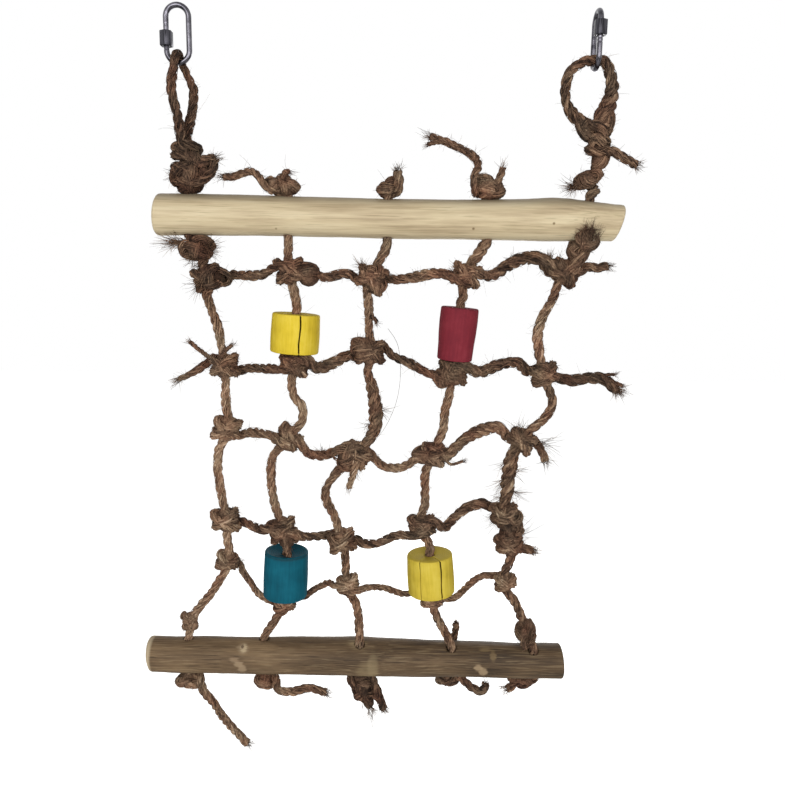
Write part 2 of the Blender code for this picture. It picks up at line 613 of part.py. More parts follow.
def build():
    clear_scene()
    coir = material("coir_rope", (0.20, 0.11, 0.06), 0.95)
    coir_dark = material("coir_rope_dark", (0.15, 0.08, 0.045), 0.95)
    peeled = material("peeled_branch", (0.58, 0.46, 0.27), 0.75)
    bark = material("brown_branch", (0.22, 0.15, 0.08), 0.85)
    steel = material("zinc_plated_steel", (0.42, 0.42, 0.44), 0.30, 1.0)
    dyes = {
        "bead_yellow_upper": material("yellow_dyed_wood", (0.68, 0.50, 0.05), 0.7),
        "bead_red": material("red_dyed_wood", (0.24, 0.03, 0.05), 0.7),
        "bead_teal": material("teal_dyed_wood", (0.01, 0.13, 0.20), 0.7),
        "bead_yellow_lower": material("lime_yellow_dyed_wood", (0.58, 0.47, 0.04), 0.7),
    }

    # Joint frames: the bar, the swing on the links, and the four fold lines
    hangers = empty("hangers", Vector())
    top = empty("swing", SWING_LEFT, hangers)
    frames = [top]
    for n, drop in enumerate(FOLD_DROPS, 1):
        frames.append(empty(f"fold_{n}", at(0, drop), frames[-1]))
    bands = ["top", "upper", "middle", "lower"]
    base_frame = frames[-1]

    # Uprights, cut at the fold lines, with the knots that the cross ropes make on them
    columns = {c: follow_upright(c) for c in UPRIGHTS}
    tops = {}
    for column, (stretches, _, folds, beads) in columns.items():
        tops[column] = stretches[0]
        for n in (1, 2, 3):
            stretch = stretches[n]
            stretch[0] = below(folds[n - 1], stretch[1])
            points = smooth_route(stretch, 2.2 * ROPE_D)
            rope(f"upright_{column}_{bands[n]}", points, ROPE_D, frames[n], coir, ball_end=True, wound=False)
        for name, (base, axis) in beads.items():
            frame = frames[1] if "upper" in name or "red" in name else frames[3]
            bead(name, base, axis, BEADS[name], frame, dyes[name])

    # Top perch, and the three inner uprights that stop on it
    hole_xs = [(n - 2) * HOLE_PITCH for n in range(5)]
    holes = [(at(x, 0), UP) for x in hole_xs]
    shape, cuts = TOP_PERCH_SHAPE, TOP_PERCH_CUTS
    perch("top_perch", at(0, 0), TOP_PERCH_LENGTH, TOP_PERCH_D, shape, cuts, holes, top, peeled)
    ends = {
        2: ([], Vector((-1, 0, 0)), 1),
        3: (TOP_END_3, Vector((1, 0, 0)), -1),
        4: ([], Vector((-1, 0, 0)), 1),
    }
    tails = {2: TOP_TAIL_2, 4: TOP_TAIL_4}
    for column, (end, towards, way) in ends.items():
        x = hole_xs[column - 1]
        radius = perch_radius(TOP_PERCH_SHAPE, TOP_PERCH_D, x / TOP_PERCH_LENGTH)
        stopper = hitch(at(x, -radius - TOUCH), UP, towards, 1, way)
        bore = [at(x, -radius), at(x, 0), at(x, radius)]
        tip = [at(*p) for p in end]
        route = smooth_route([*reversed(stopper + tip), *bore, *tops[column]], 2.2 * ROPE_D)
        rope(f"upright_{column}_top", route, ROPE_D, top, coir, ball_end=True)
        if column in tails:
            ahead = (stopper[-1] - stopper[-2]).normalized()
            start = stopper[-1] + ahead * TOUCH
            run = [start, start + ahead * ROPE_D, *[at(*p) for p in tails[column]]]
            points = smooth_route(run, 2 * ROPE_D)
            rope(f"tail_top_{column}", points, ROPE_D, top, coir, sides=2, wound=False)

    # Hanging ropes: each makes a loop on its link, a knot over the perch, and goes on as an outer upright
    wire_z = PERCH_Z - LINK_LOW_Z
    arc = []
    bend = LOOP_REACH / math.cos(math.pi / 16)
    for n in range(9):
        angle = math.pi * n / 8
        x = -0.001 + 0.002 * n / 8
        arc.append(SWING_LEFT + Vector((x, -bend * math.cos(angle), bend * math.sin(angle))))
    post = at(hole_xs[0] + 0.0005, -0.031)
    twist = wrap(post, UP, -1, 3, ROPE_D + HITCH_GAP, ROPE_D, leads=(False, True))
    left = [at(-0.1085, -0.0335, -0.003), at(-0.1095, -0.0265, -0.0055), *reversed(twist)]
    left += [at(-0.1295, -0.0475, -0.0072), at(-0.1328, -0.0580, -0.0075), at(-0.1344, -0.0680, -0.0078)]
    left += [at(-0.1350, -0.0770, -0.0075), at(-0.1325, wire_z + 0.0040, -0.0060), *arc]
    left += [at(-0.1268, wire_z + 0.0050, 0.0060), at(-0.1218, -0.0770, 0.0075), at(-0.1213, -0.0700, 0.0072)]
    left += [at(-0.1228, -0.0600, 0.0048), at(-0.1256, -0.0520, 0.0012), post + UP * 0.0155, post]
    left += [at(hole_xs[0], -TOP_R), at(hole_xs[0], 0), at(hole_xs[0], TOP_R)]
    lump = at(hole_xs[0] + 0.0005, TOP_R + 0.0010), tops[1][0] + UP * 0.0008
    left += coil(*lump, *LEFT_LUMP, Vector((-1, 0, 0)))[1:-1]
    rope("hanging_rope_left", smooth_route(left + tops[1], 2.2 * ROPE_D), ROPE_D, top, coir, ball_end=True)

    lean = (at(0.1300, -0.060) - at(0.1306, -0.038)).normalized()
    post = at(0.1303, -0.0490)
    twist = wrap(post, lean, -1, 2, ROPE_D + HITCH_GAP, ROPE_D, leads=(False, True))
    pin = SWING_RIGHT
    right = [at(0.1540, -0.0345, -0.003), at(0.1480, -0.0370, -0.0050), *reversed(twist)]
    right += [at(0.1235, -0.0570, -0.0050), at(0.1165, -0.0610, -0.0020), at(0.1105, -0.0690, 0)]
    right += [at(0.1082, -0.0800, 0), at(0.1115, -0.0905, 0), pin + Vector((-0.0060, 0, -0.0004)), pin]
    right += [pin + Vector((0.0050, 0, -0.0004)), at(0.1356, -0.0880, 0), at(0.1372, -0.0780, 0)]
    right += [at(0.1345, -0.0680, 0), post + lean * 0.0125, post, post - lean * 0.0125]
    neck = at(0.1305, -0.0350), at(hole_xs[4], -TOP_R - 0.0010)
    right += coil(*neck, *RIGHT_NECK, Vector((-1, 0, 0)))[1:]
    right += [at(hole_xs[4], 0), at(hole_xs[4], TOP_R)]
    lump = at(hole_xs[4], TOP_R + 0.0012), tops[5][0] + UP * 0.0008
    right += coil(*lump, *RIGHT_LUMP, Vector((1, 0, 0)))[1:-1]
    rope("hanging_rope_right", smooth_route(right + tops[5], 2.2 * ROPE_D), ROPE_D, top, coir, ball_end=True)

    # Cross ropes: one unbroken rope a row, wound once round each upright
    order = {c: list(columns[c][1]) for c in columns}
    second_turn = order[5].pop(4)
    row_frames = [frames[0], frames[1], frames[2], frames[3], frames[3]]
    row_ends = {}
    for row, items in enumerate(CROSS_ROPES):
        diameter = THIN_ROPE_D if row == 4 else ROPE_D
        points = []
        for n, item in enumerate(items):
            if isinstance(item[0], int):
                column, side, turns = item
                centre, axis = order[column][row]
                leads = n > 0, n < len(items) - 1
                come = at(*items[n - 1]) if leads[0] else centre
                go = at(*items[n + 1]) if leads[1] else centre
                points += shorter_wrap(come, go, centre, axis, side, turns, ROPE_D, diameter, leads)
            else:
                points.append(at(*item))
        if row == 3:
            points += wrap(*second_turn, 1, 1.5, ROPE_D, diameter, leads=(False, False), heading=-1)
            points += [at(*p) for p in ROW_END_4]
        row_ends[row + 1] = points[-1], (points[-1] - points[-2]).normalized()
        mat = coir_dark if row == 4 else coir
        rope(f"cross_rope_{row + 1}", smooth_route(points, 2.2 * ROPE_D), diameter, row_frames[row], mat)
    end, ahead = row_ends[2]
    run = [end + ahead * TOUCH, end + ahead * ROPE_D, *[at(*p) for p in ROW_TAIL_2]]
    points = smooth_route(run, 2 * ROPE_D)
    rope("tail_row_2", points, ROPE_D, frames[1], coir, sides=2, wound=False)

    # Bottom perch and the rope ends that hold it
    middle = at(BOTTOM_PERCH_SHIFT, BOTTOM_PERCH_DROP)
    holes = []
    for x, roll in BOTTOM_HOLES:
        lean = math.radians(roll)
        holes.append((at(x, BOTTOM_PERCH_DROP), Vector((0, -math.sin(lean), math.cos(lean)))))
    shape, cuts = BOTTOM_PERCH_SHAPE, BOTTOM_PERCH_CUTS
    perch("bottom_perch", middle, BOTTOM_PERCH_LENGTH, BOTTOM_PERCH_D, shape, cuts, holes, base_frame, bark)
    foot_ends = [[], [], FOOT_END_3, FOOT_END_4, FOOT_END_5]
    foot_tails = {1: FOOT_TAIL_1, 2: FOOT_TAIL_2}
    for n, ((centre, axis), end) in enumerate(zip(holes, foot_ends), 1):
        fold = columns[n][2][3]
        share = (centre.x - BOTTOM_PERCH_SHIFT) / BOTTOM_PERCH_LENGTH
        radius = perch_radius(BOTTOM_PERCH_SHAPE, BOTTOM_PERCH_D, share)
        mouth = centre + axis * (radius + 0.0010)
        start = below(fold, mouth)
        points = [start, start.lerp(mouth, 0.15)]
        if n in (1, 5):
            points += coil(points[1], mouth.lerp(start, 0.25), *FOOT_LUMP, Vector((1, 0, 0)))[1:-1]
        towards, way = (Vector((-1, 0, 0)), -1) if n == 5 else (Vector((1, 0, 0)), 1)
        stopper = hitch(centre - axis * (radius + TOUCH), -axis, towards, 1, way)
        points += [mouth, centre, centre - axis * radius, *stopper, *[at(*p) for p in end]]
        rope(f"foot_{n}", smooth_route(points, 2.2 * ROPE_D), ROPE_D, base_frame, coir)
        if n in foot_tails:
            ahead = (stopper[-1] - stopper[-2]).normalized()
            start = stopper[-1] + ahead * TOUCH
            run = [start, start + ahead * ROPE_D, *[at(*p) for p in foot_tails[n]]]
            points = smooth_route(run, 2 * ROPE_D)
            rope(f"tail_foot_{n}", points, ROPE_D, base_frame, coir, sides=2, wound=False)

    # Quick links and their sleeves: the left one faces the viewer, the right one stands edge-on and hangs
    # the other way up, with its sleeve at the top
    links = {
        "left": (LINK_LEFT_X, Vector((1, 0, 0)), SLEEVE_LOW_Z),
        "right": (LINK_RIGHT_X, Vector((0, 1, 0)), SLEEVE_HIGH_Z),
    }
    for side, place in links.items():
        quick_link(f"quick_link_{side}", *place, hangers, steel)
        link_sleeve(f"link_sleeve_{side}", *place, hangers, steel)


build()
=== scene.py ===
import math
import random

import bmesh
import bpy
from mathutils import Matrix, Vector, kdtree, noise


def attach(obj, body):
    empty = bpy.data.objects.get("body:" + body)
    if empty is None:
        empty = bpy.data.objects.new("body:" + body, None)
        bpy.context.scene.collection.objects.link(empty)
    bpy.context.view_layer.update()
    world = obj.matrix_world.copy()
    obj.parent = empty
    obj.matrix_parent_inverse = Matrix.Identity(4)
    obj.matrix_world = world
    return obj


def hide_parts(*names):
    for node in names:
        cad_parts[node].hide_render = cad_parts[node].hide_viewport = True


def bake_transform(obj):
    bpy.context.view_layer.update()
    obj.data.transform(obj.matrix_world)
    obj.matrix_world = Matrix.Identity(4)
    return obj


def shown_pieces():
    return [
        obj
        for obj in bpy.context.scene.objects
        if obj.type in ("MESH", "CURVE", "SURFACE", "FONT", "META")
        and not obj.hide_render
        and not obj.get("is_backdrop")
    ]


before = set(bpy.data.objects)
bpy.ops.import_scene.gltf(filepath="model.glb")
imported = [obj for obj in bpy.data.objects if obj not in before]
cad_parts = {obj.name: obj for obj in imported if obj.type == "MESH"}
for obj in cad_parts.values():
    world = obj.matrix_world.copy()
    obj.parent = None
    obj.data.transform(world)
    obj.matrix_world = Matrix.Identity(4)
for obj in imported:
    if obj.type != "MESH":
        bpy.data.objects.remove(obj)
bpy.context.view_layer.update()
scene = bpy.context.scene
up = Vector((0, 0, 1))
print("frame loaded:", len(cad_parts), "nodes")


# Stage: white studio, the camera where the photographer stood

stageSettings = {
    "floorZ": -0.80,
    "floorSize": 8.0,
    "floorGlow": 0.80,
    "worldStrength": 0.24,
    "lampsAimAt": (0, 0, -0.23),
    # place, width, power
    "lamps": {
        "keySoftbox": ((-0.42, -1.30, 0.05), 0.7, 8.8),
        "fillSoftbox": ((0.55, -1.25, 0.00), 0.7, 6.5),
        "backSoftbox": ((0.30, 1.25, -0.25), 0.9, 8.0),
    },
    "cameraAt": (0.0046, -0.469, -0.157),
    "cameraDown": 9.4,
    "cameraRoll": 0.9,
    "sensorWidth": 36.0,
    "focalPixels": 720.0,
    "pictureWidth": 785.0,
}
colourMix = {"data_type": "RGBA"}
smoothStep = {"interpolation_type": "SMOOTHSTEP"}


def hexColour(text):
    parts = [int(text[i : i + 2], 16) / 255 for i in (1, 3, 5)]
    linear = [c / 12.92 if c <= 0.04045 else ((c + 0.055) / 1.055) ** 2.4 for c in parts]
    return (*linear, 1.0)


# an input takes a value, a socket, or a node for that node's first socket
def addNode(tree, kind, props=None, inputs=None, stops=None):
    node = tree.nodes.new("ShaderNode" + kind)
    for key, value in (props or {}).items():
        setattr(node, key, value)
    for key, value in (inputs or {}).items():
        if isinstance(value, bpy.types.Node):
            value = value.outputs[0]
        if isinstance(value, bpy.types.NodeSocket):
            tree.links.new(value, node.inputs[key])
        else:
            node.inputs[key].default_value = value
    if stops:
        ramp = node.color_ramp.elements
        while len(ramp) < len(stops):
            ramp.new(0.5)
        for element, (place, colour) in zip(ramp, stops):
            element.position = place
            element.color = hexColour(colour)
    return node


def newMaterial(name, sockets):
    mat = bpy.data.materials.new(name)
    mat.use_nodes = True
    shader = mat.node_tree.nodes["Principled BSDF"]
    for key, value in sockets.items():
        shader.inputs[key].default_value = value
    return mat, mat.node_tree, shader


def buildStage(s):
    scene.view_settings.view_transform = "Standard"
    world = bpy.data.worlds.new("studioWhite")
    scene.world = world
    world.use_nodes = True
    tree = world.node_tree
    back = tree.nodes["Background"]
    path = addNode(tree, "LightPath")
    seen = path.outputs["Is Camera Ray"]
    for ray in ("Is Glossy Ray", "Is Transmission Ray"):
        seen = addNode(tree, "Math", {"operation": "MAXIMUM"}, {0: seen, 1: path.outputs[ray]})
    level = addNode(tree, "MapRange", inputs={"Value": seen, "To Min": s["worldStrength"], "To Max": 1.0})
    tree.links.new(level.outputs[0], back.inputs["Strength"])
    back.inputs["Color"].default_value = (1, 1, 1, 1)

    # matt paper, lifted to white where the camera sees it
    paper = {"Roughness": 0.9, "Base Color": hexColour("#f4f4f2"), "Emission Color": (1, 1, 1, 1)}
    floorMat, tree, shader = newMaterial("paperFloor", paper)
    seen = addNode(tree, "LightPath").outputs["Is Camera Ray"]
    glow = addNode(tree, "Math", {"operation": "MULTIPLY"}, {0: seen, 1: s["floorGlow"]})
    tree.links.new(glow.outputs[0], shader.inputs["Emission Strength"])
    bm = bmesh.new()
    bmesh.ops.create_grid(bm, x_segments=1, y_segments=1, size=s["floorSize"] / 2)
    bmesh.ops.translate(bm, verts=bm.verts, vec=(0, 0, s["floorZ"]))
    floorData = bpy.data.meshes.new("floor")
    bm.to_mesh(floorData)
    bm.free()
    floorData.materials.append(floorMat)
    floor = bpy.data.objects.new("floor", floorData)
    scene.collection.objects.link(floor)
    floor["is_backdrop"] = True

    for name, (place, width, power) in s["lamps"].items():
        data = bpy.data.lights.new(name, "AREA")
        data.size = width
        data.energy = power
        lamp = bpy.data.objects.new(name, data)
        scene.collection.objects.link(lamp)
        lamp.location = place
        aim = Vector(s["lampsAimAt"]) - Vector(place)
        lamp.rotation_euler = aim.to_track_quat("-Z", "Y").to_euler()

    camData = bpy.data.cameras.new("photoCamera")
    camData.sensor_width = s["sensorWidth"]
    camData.lens = s["sensorWidth"] * s["focalPixels"] / s["pictureWidth"]
    camData.clip_start = 0.01
    cam = bpy.data.objects.new("photoCamera", camData)
    scene.collection.objects.link(cam)
    tilt = Matrix.Rotation(math.radians(90 - s["cameraDown"]), 4, "X")
    roll = Matrix.Rotation(math.radians(s["cameraRoll"]), 4, "Z")
    cam.matrix_world = Matrix.Translation(s["cameraAt"]) @ tilt @ roll
    scene.camera = cam


buildStage(stageSettings)
print("stage ready")


# Routes of the ropes, in metres: x, and the drop below the top perch's axis

sizes = {
    "rope": 0.0060,
    "thinRope": 0.0046,
    "touch": 0.0003,
    "turnGap": 0.0015,
    "hitchGap": 0.0010,
    "boreClear": 0.0007,
    "topLength": 0.2930,
    "bottomLength": 0.2880,
    "topPerch": 0.0255,
    "bottomPerch": 0.0250,
    "bottomShift": -0.0180,
    "hangerDrop": 0.1225,
    "holePitch": 0.0635,
    "footRise": 0.0185,
    "linkWire": 0.0034,
    "linkInnerWidth": 0.0105,
    "linkInnerLength": 0.0297,
    "linkLeftX": -0.1300,
    "linkRightX": 0.1260,
    "knotHold": 0.0070,
    "wrapSteps": 10,
    "lead": 0.0020,
}
perchZ = -sizes["hangerDrop"]
topR = sizes["topPerch"] / 2
bottomR = sizes["bottomPerch"] / 2
ropeR = sizes["rope"] / 2
foldDrops = [0.0491, 0.1160, 0.1790, 0.2700]
bottomDrop = foldDrops[-1] + sizes["footRise"] + bottomR
linkLowZ = -sizes["linkInnerLength"] - sizes["linkWire"] / 2
loopReach = sizes["linkWire"] / 2 + ropeR + sizes["touch"]

beadSizes = {
    "bead_yellow_upper": {"bottom": 0.0315, "top": 0.0310, "height": 0.0255},
    "bead_red": {"bottom": 0.0228, "top": 0.0246, "height": 0.0345},
    "bead_teal": {"bottom": 0.0300, "top": 0.0296, "height": 0.0325},
    "bead_yellow_lower": {"bottom": 0.0318, "top": 0.0312, "height": 0.0278},
}

uprightRoutes = {
    1: [
        ("knot", -0.1160, 0.0385), ("fold", -0.1163),
        (-0.1140, 0.0580), (-0.1102, 0.0690), (-0.1082, 0.0800), ("knot", -0.1060, 0.0965), ("fold", -0.1058),
        (-0.1055, 0.1240), ("knot", -0.1055, 0.1385), (-0.1108, 0.1520), (-0.1120, 0.1660), ("fold", -0.1105),
        (-0.1095, 0.1870), ("knot", -0.1074, 0.2020), (-0.1068, 0.2160), ("knot", -0.1070, 0.2310),
        (-0.1120, 0.2440), (-0.1195, 0.2560), ("fold", -0.1305),
    ],
    2: [
        (-0.0636, 0.0220), ("knot", -0.0625, 0.0343), ("fold", -0.0595),
        ("aim", -0.0583, 0.0565), ("seat", -0.0605, 0.0937, "bead_yellow_upper"), (-0.0620, 0.1070),
        ("fold", -0.0602),
        (-0.0550, 0.1230), (-0.0552, 0.1320), ("knot", -0.0645, 0.1440), (-0.0745, 0.1560), (-0.0763, 0.1660),
        ("fold", -0.0757),
        (-0.0742, 0.1890), ("knot", -0.0690, 0.2070), ("aim", -0.0660, 0.2190),
        ("seat", -0.0678, 0.2610, "bead_teal"), ("fold", -0.0725),
    ],
    3: [
        (-0.0020, 0.0210), ("knot", -0.0102, 0.0380), ("fold", -0.0122),
        (-0.0114, 0.0610), (-0.0113, 0.0730), ("knot", -0.0106, 0.0857), (-0.0122, 0.0970), (-0.0094, 0.1070),
        ("fold", -0.0074),
        (-0.0064, 0.1240), (-0.0068, 0.1360), ("knot", -0.0180, 0.1540), (-0.0310, 0.1660), ("fold", -0.0392),
        (-0.0392, 0.1862), (-0.0342, 0.1968), ("knot", -0.0285, 0.2150), (-0.0257, 0.2300),
        ("knot", -0.0242, 0.2470), (-0.0200, 0.2580), ("fold", -0.0166),
    ],
    4: [
        (0.0592, 0.0200), ("knot", 0.0508, 0.0355), ("fold", 0.0495),
        ("aim", 0.0478, 0.0522), ("seat", 0.0442, 0.0970, "bead_red"), ("fold", 0.0415),
        (0.0395, 0.1240), (0.0390, 0.1350), ("knot", 0.0325, 0.1535), (0.0276, 0.1660), ("fold", 0.0276),
        (0.0276, 0.1890), ("knot", 0.0262, 0.2035), ("aim", 0.0312, 0.2165),
        ("seat", 0.0342, 0.2570, "bead_yellow_lower"), ("fold", 0.0380),
    ],
    5: [
        ("knot", 0.1140, 0.0320), ("fold", 0.1072),
        (0.1012, 0.0610), (0.0984, 0.0720), (0.0998, 0.0830), ("knot", 0.1040, 0.0983), ("fold", 0.1105),
        (0.1085, 0.1240), (0.1000, 0.1335), ("knot", 0.0912, 0.1430), (0.0850, 0.1560), (0.0835, 0.1680),
        ("fold", 0.0830),
        ("knot", 0.0818, 0.1950), ("knot", 0.0860, 0.2150), (0.0868, 0.2290), ("knot", 0.0846, 0.2435),
        (0.0905, 0.2560), ("fold", 0.0970),
    ],
}

# A whole number is a knot on that upright, with its side and its turns; the rest are points (x, drop, y)
crossRoutes = [
    [
        (1, 1, 1), (-0.1010, 0.0372, 0.004), (-0.0900, 0.0374, 0.001), (-0.0785, 0.0362, -0.003),
        (2, -1, 1), (-0.0470, 0.0355, -0.004), (-0.0400, 0.0378, 0.000), (-0.0260, 0.0352, 0.004),
        (3, 1, 1), (0.0060, 0.0386, 0.004), (0.0180, 0.0366, 0.000), (0.0330, 0.0340, -0.004),
        (4, -1, 1), (0.0670, 0.0350, -0.004), (0.0770, 0.0285, 0.000), (0.0890, 0.0235, 0.003),
        (0.0985, 0.0238, 0.004),
        (5, 1, 1), (0.1300, 0.0285, 0.006), (0.1365, 0.0290, 0.005), (0.1425, 0.0275, 0.004),
    ],
    [
        (-0.1370, 0.1060, 0.002), (-0.1260, 0.1005, 0.004),
        (1, 1, 1), (-0.0910, 0.0980, 0.004), (-0.0790, 0.0975, 0.000),
        (2, -1, 1), (-0.0450, 0.0960, -0.004), (-0.0350, 0.0935, 0.000), (-0.0260, 0.0890, 0.004),
        (3, 1, 1), (0.0040, 0.0880, 0.005), (0.0140, 0.0920, 0.002), (0.0240, 0.0968, -0.003),
        (4, -1, 1), (0.0610, 0.0972, -0.004), (0.0740, 0.0928, 0.000), (0.0865, 0.0915, 0.004),
        (5, 1, 1),
    ],
    [
        (1, 1, 1), (-0.0905, 0.1415, 0.004), (-0.0815, 0.1410, -0.002),
        (2, -1, 1), (-0.0510, 0.1530, -0.004), (-0.0420, 0.1560, 0.001), (-0.0335, 0.1535, 0.004),
        (3, 1, 1), (-0.0020, 0.1630, 0.005), (0.0080, 0.1635, 0.000), (0.0170, 0.1590, -0.004),
        (4, -1, 1), (0.0460, 0.1490, -0.004), (0.0560, 0.1410, 0.000), (0.0660, 0.1370, 0.003),
        (0.0760, 0.1355, 0.005),
        (5, 1, 1), (0.1045, 0.1490, 0.006), (0.1090, 0.1580, 0.004),
    ],
    [
        (1, 1, 1), (-0.0940, 0.2055, 0.004), (-0.0850, 0.2070, -0.002),
        (2, -1, 1), (-0.0560, 0.2110, -0.004), (-0.0440, 0.2130, 0.002),
        (3, 1, 1), (-0.0140, 0.2190, 0.005), (-0.0040, 0.2170, 0.001), (0.0090, 0.2095, -0.004),
        (4, -1, 1), (0.0405, 0.2030, -0.0050), (0.0480, 0.1975, 0.000), (0.0570, 0.1915, 0.003),
        (0.0680, 0.1890, 0.005),
        (5, 1, 1), (0.0915, 0.2010, 0.0042), (0.0928, 0.2048, -0.001), (0.0905, 0.2085, -0.0058),
    ],
    [
        (1, 1, 1), (-0.0975, 0.2405, 0.004), (-0.0925, 0.2490, 0.006), (-0.0870, 0.2585, 0.007),
        (2, 1, 1), (-0.0560, 0.2600, 0.007), (-0.0475, 0.2530, 0.005), (-0.0370, 0.2460, 0.000),
        (3, -1, 1), (-0.0120, 0.2480, -0.003), (0.0010, 0.2500, 0.002), (0.0140, 0.2560, 0.006),
        (4, 1, 1), (0.0500, 0.2590, 0.007), (0.0560, 0.2535, 0.0065), (0.0620, 0.2460, 0.005),
        (0.0700, 0.2412, 0.005),
        (5, 1, 1),
    ],
]

tailRoutes = {
    "tail_top_2": [
        (-0.0765, -0.0178, -0.0075), (-0.0805, -0.0235, -0.0070), (-0.0850, -0.0268, -0.004),
        (-0.0905, -0.0262, -0.002), (-0.0970, -0.0240, -0.001), (-0.1040, -0.0238, 0.001),
    ],
    "tail_top_4": [
        (0.0533, -0.0180, -0.0088), (0.0530, -0.0250, -0.0088), (0.0555, -0.0325, -0.0055),
        (0.0530, -0.0380, -0.002), (0.0470, -0.0420, 0.000), (0.0370, -0.0465, 0.000),
        (0.0255, -0.0498, -0.001),
    ],
    "tail_row_2": [
        (0.1240, 0.1030, 0.005), (0.1330, 0.1010, 0.003), (0.1430, 0.1012, 0.000), (0.1515, 0.1075, -0.002),
    ],
    "tail_foot_1": [
        (-0.1240, 0.3215, -0.0095), (-0.1172, 0.3326, -0.008), (-0.1122, 0.3444, -0.005),
        (-0.1050, 0.3565, -0.002), (-0.0959, 0.3691, 0.000),
    ],
    "tail_foot_2": [
        (-0.0720, 0.3205, -0.0095), (-0.0626, 0.3240, -0.007), (-0.0517, 0.3235, -0.003),
        (-0.0395, 0.3285, 0.000),
    ],
}
topEnd3 = [(0.0064, -0.0180, -0.0062), (0.0064, -0.0225, -0.0080), (0.0054, -0.0275, -0.0078)]
rowEnd4 = [(0.0950, 0.2210, 0.0066), (0.1030, 0.2220, 0.004)]
footEnds = {
    1: [],
    2: [],
    3: [(-0.0060, 0.3192, 0.0010), (-0.0025, 0.3265, -0.0030), (0.0020, 0.3380, -0.0040)],
    4: [
        (0.0582, 0.3182, 0.001), (0.0645, 0.3215, -0.003), (0.0705, 0.3225, -0.005), (0.0730, 0.3165, -0.006),
    ],
    5: [(0.0950, 0.3185, 0.0000), (0.0885, 0.3215, -0.0040)],
}
# the bottom perch's holes: x and lean in degrees
bottomHoles = {1: (-0.1355, 0), 2: (-0.0825, 0), 3: (-0.0154, 22), 4: (0.0482, 22), 5: (0.1050, 28)}
# how each branch grew: share of its length, bow in y and z, thickness
topShape = [
    (-0.50, 0.0000, 0.0000, 1.02), (-0.40, 0.0004, 0.0003, 1.00), (-0.22, 0.0010, 0.0002, 0.98),
    (0.00, 0.0008, -0.0004, 0.97), (0.20, 0.0000, -0.0002, 0.98), (0.32, -0.0004, 0.0004, 1.03),
    (0.37, -0.0004, 0.0008, 1.07), (0.42, 0.0000, 0.0002, 0.98), (0.50, 0.0002, -0.0012, 0.88),
]
bottomShape = [
    (-0.50, 0.0000, 0.0000, 0.97), (-0.30, -0.0006, 0.0004, 0.99), (-0.06, 0.0000, 0.0006, 1.02),
    (0.02, 0.0003, 0.0006, 1.10), (0.07, 0.0003, 0.0002, 1.02), (0.24, 0.0006, -0.0004, 0.97),
    (0.40, 0.0000, -0.0006, 0.95), (0.50, -0.0003, -0.0002, 0.94),
]


def at(x, drop, y=0.0):
    return Vector((x, y, perchZ - drop))


def smoothRoute(points, step):
    ends = [points[0] * 2 - points[1], *points, points[-1] * 2 - points[-2]]
    route = [points[0]]
    for i in range(len(points) - 1):
        a, b, c, d = ends[i : i + 4]
        knots = [0.0]
        for p, q in ((a, b), (b, c), (c, d)):
            knots.append(knots[-1] + max((q - p).length, 1e-6) ** 0.5)
        pieces = max(1, math.ceil((c - b).length / step))
        for n in range(1, pieces + 1):
            t = knots[1] + (knots[2] - knots[1]) * n / pieces
            ab = a.lerp(b, (t - knots[0]) / (knots[1] - knots[0]))
            bc = b.lerp(c, (t - knots[1]) / (knots[2] - knots[1]))
            cd = c.lerp(d, (t - knots[2]) / (knots[3] - knots[2]))
            abc = ab.lerp(bc, (t - knots[0]) / (knots[2] - knots[0]))
            bcd = bc.lerp(cd, (t - knots[1]) / (knots[3] - knots[1]))
            route.append(abc.lerp(bcd, (t - knots[1]) / (knots[2] - knots[1])))
    return route


def across(axis, towards):
    first = (towards - axis * towards.dot(axis)).normalized()
    return first, axis.cross(first)


def wrap(centre, axis, side, turns, around, diameter, rise=-1, leads=(True, True), heading=1, pull=1.0):
    first, second = across(axis, Vector((heading, 0, 0)))
    reach = pull * ((around + diameter) / 2 + sizes["touch"]) / math.cos(math.pi / sizes["wrapSteps"])
    height = (diameter + sizes["turnGap"]) * turns * rise
    points = []
    count = round(sizes["wrapSteps"] * turns)
    for n in range(count + 1):
        share = n / count
        angle = side * (math.pi / 2 - 2 * math.pi * turns * share)
        out = first * math.cos(angle) + second * math.sin(angle)
        points.append(centre + out * reach + axis * height * (share - 0.5))
    before = [points[0] - first * (reach + sizes["lead"])] if leads[0] else []
    after = [points[-1] + first * (reach + sizes["lead"])] if leads[1] else []
    return before + points + after


def shorterWrap(come, go, *knot):
    ways = [wrap(*knot[:6], rise, knot[6]) for rise in (1, -1)]
    return min(ways, key=lambda points: (points[0] - come).length + (points[-1] - go).length)


def coil(start, end, turns, reach, towards):
    axis = (end - start).normalized()
    first, second = across(axis, towards)
    points = []
    count = round(sizes["wrapSteps"] * turns)
    for n in range(count + 1):
        share = n / count
        angle = 2 * math.pi * turns * share
        ease = min(1.0, share / 0.25, (1 - share) / 0.25)
        out = first * math.cos(angle) + second * math.sin(angle)
        points.append(start.lerp(end, share) + out * reach * ease * ease * (3 - 2 * ease))
    return points


def hitch(start, axis, towards, turnWay, pull=1.0):
    first, second = across(axis, towards)
    pitch = (sizes["rope"] + sizes["hitchGap"]) * pull
    reach = pitch / math.cos(math.pi / sizes["wrapSteps"])
    run = pitch + ropeR + sizes["touch"]
    points = [start + axis * run * 0.5, start + axis * run]
    for n in range(1, 6):
        angle = math.pi * n / 6
        out = first * reach / 2 * (1 - math.cos(angle))
        points.append(start + axis * (run + reach / 2 * math.sin(angle)) + out)
    for n in range(sizes["wrapSteps"] + 1):
        share = n / sizes["wrapSteps"]
        angle = turnWay * 2 * math.pi * share
        out = first * math.cos(angle) + second * math.sin(angle)
        points.append(start + out * reach + axis * (run - pitch * share))
    return points


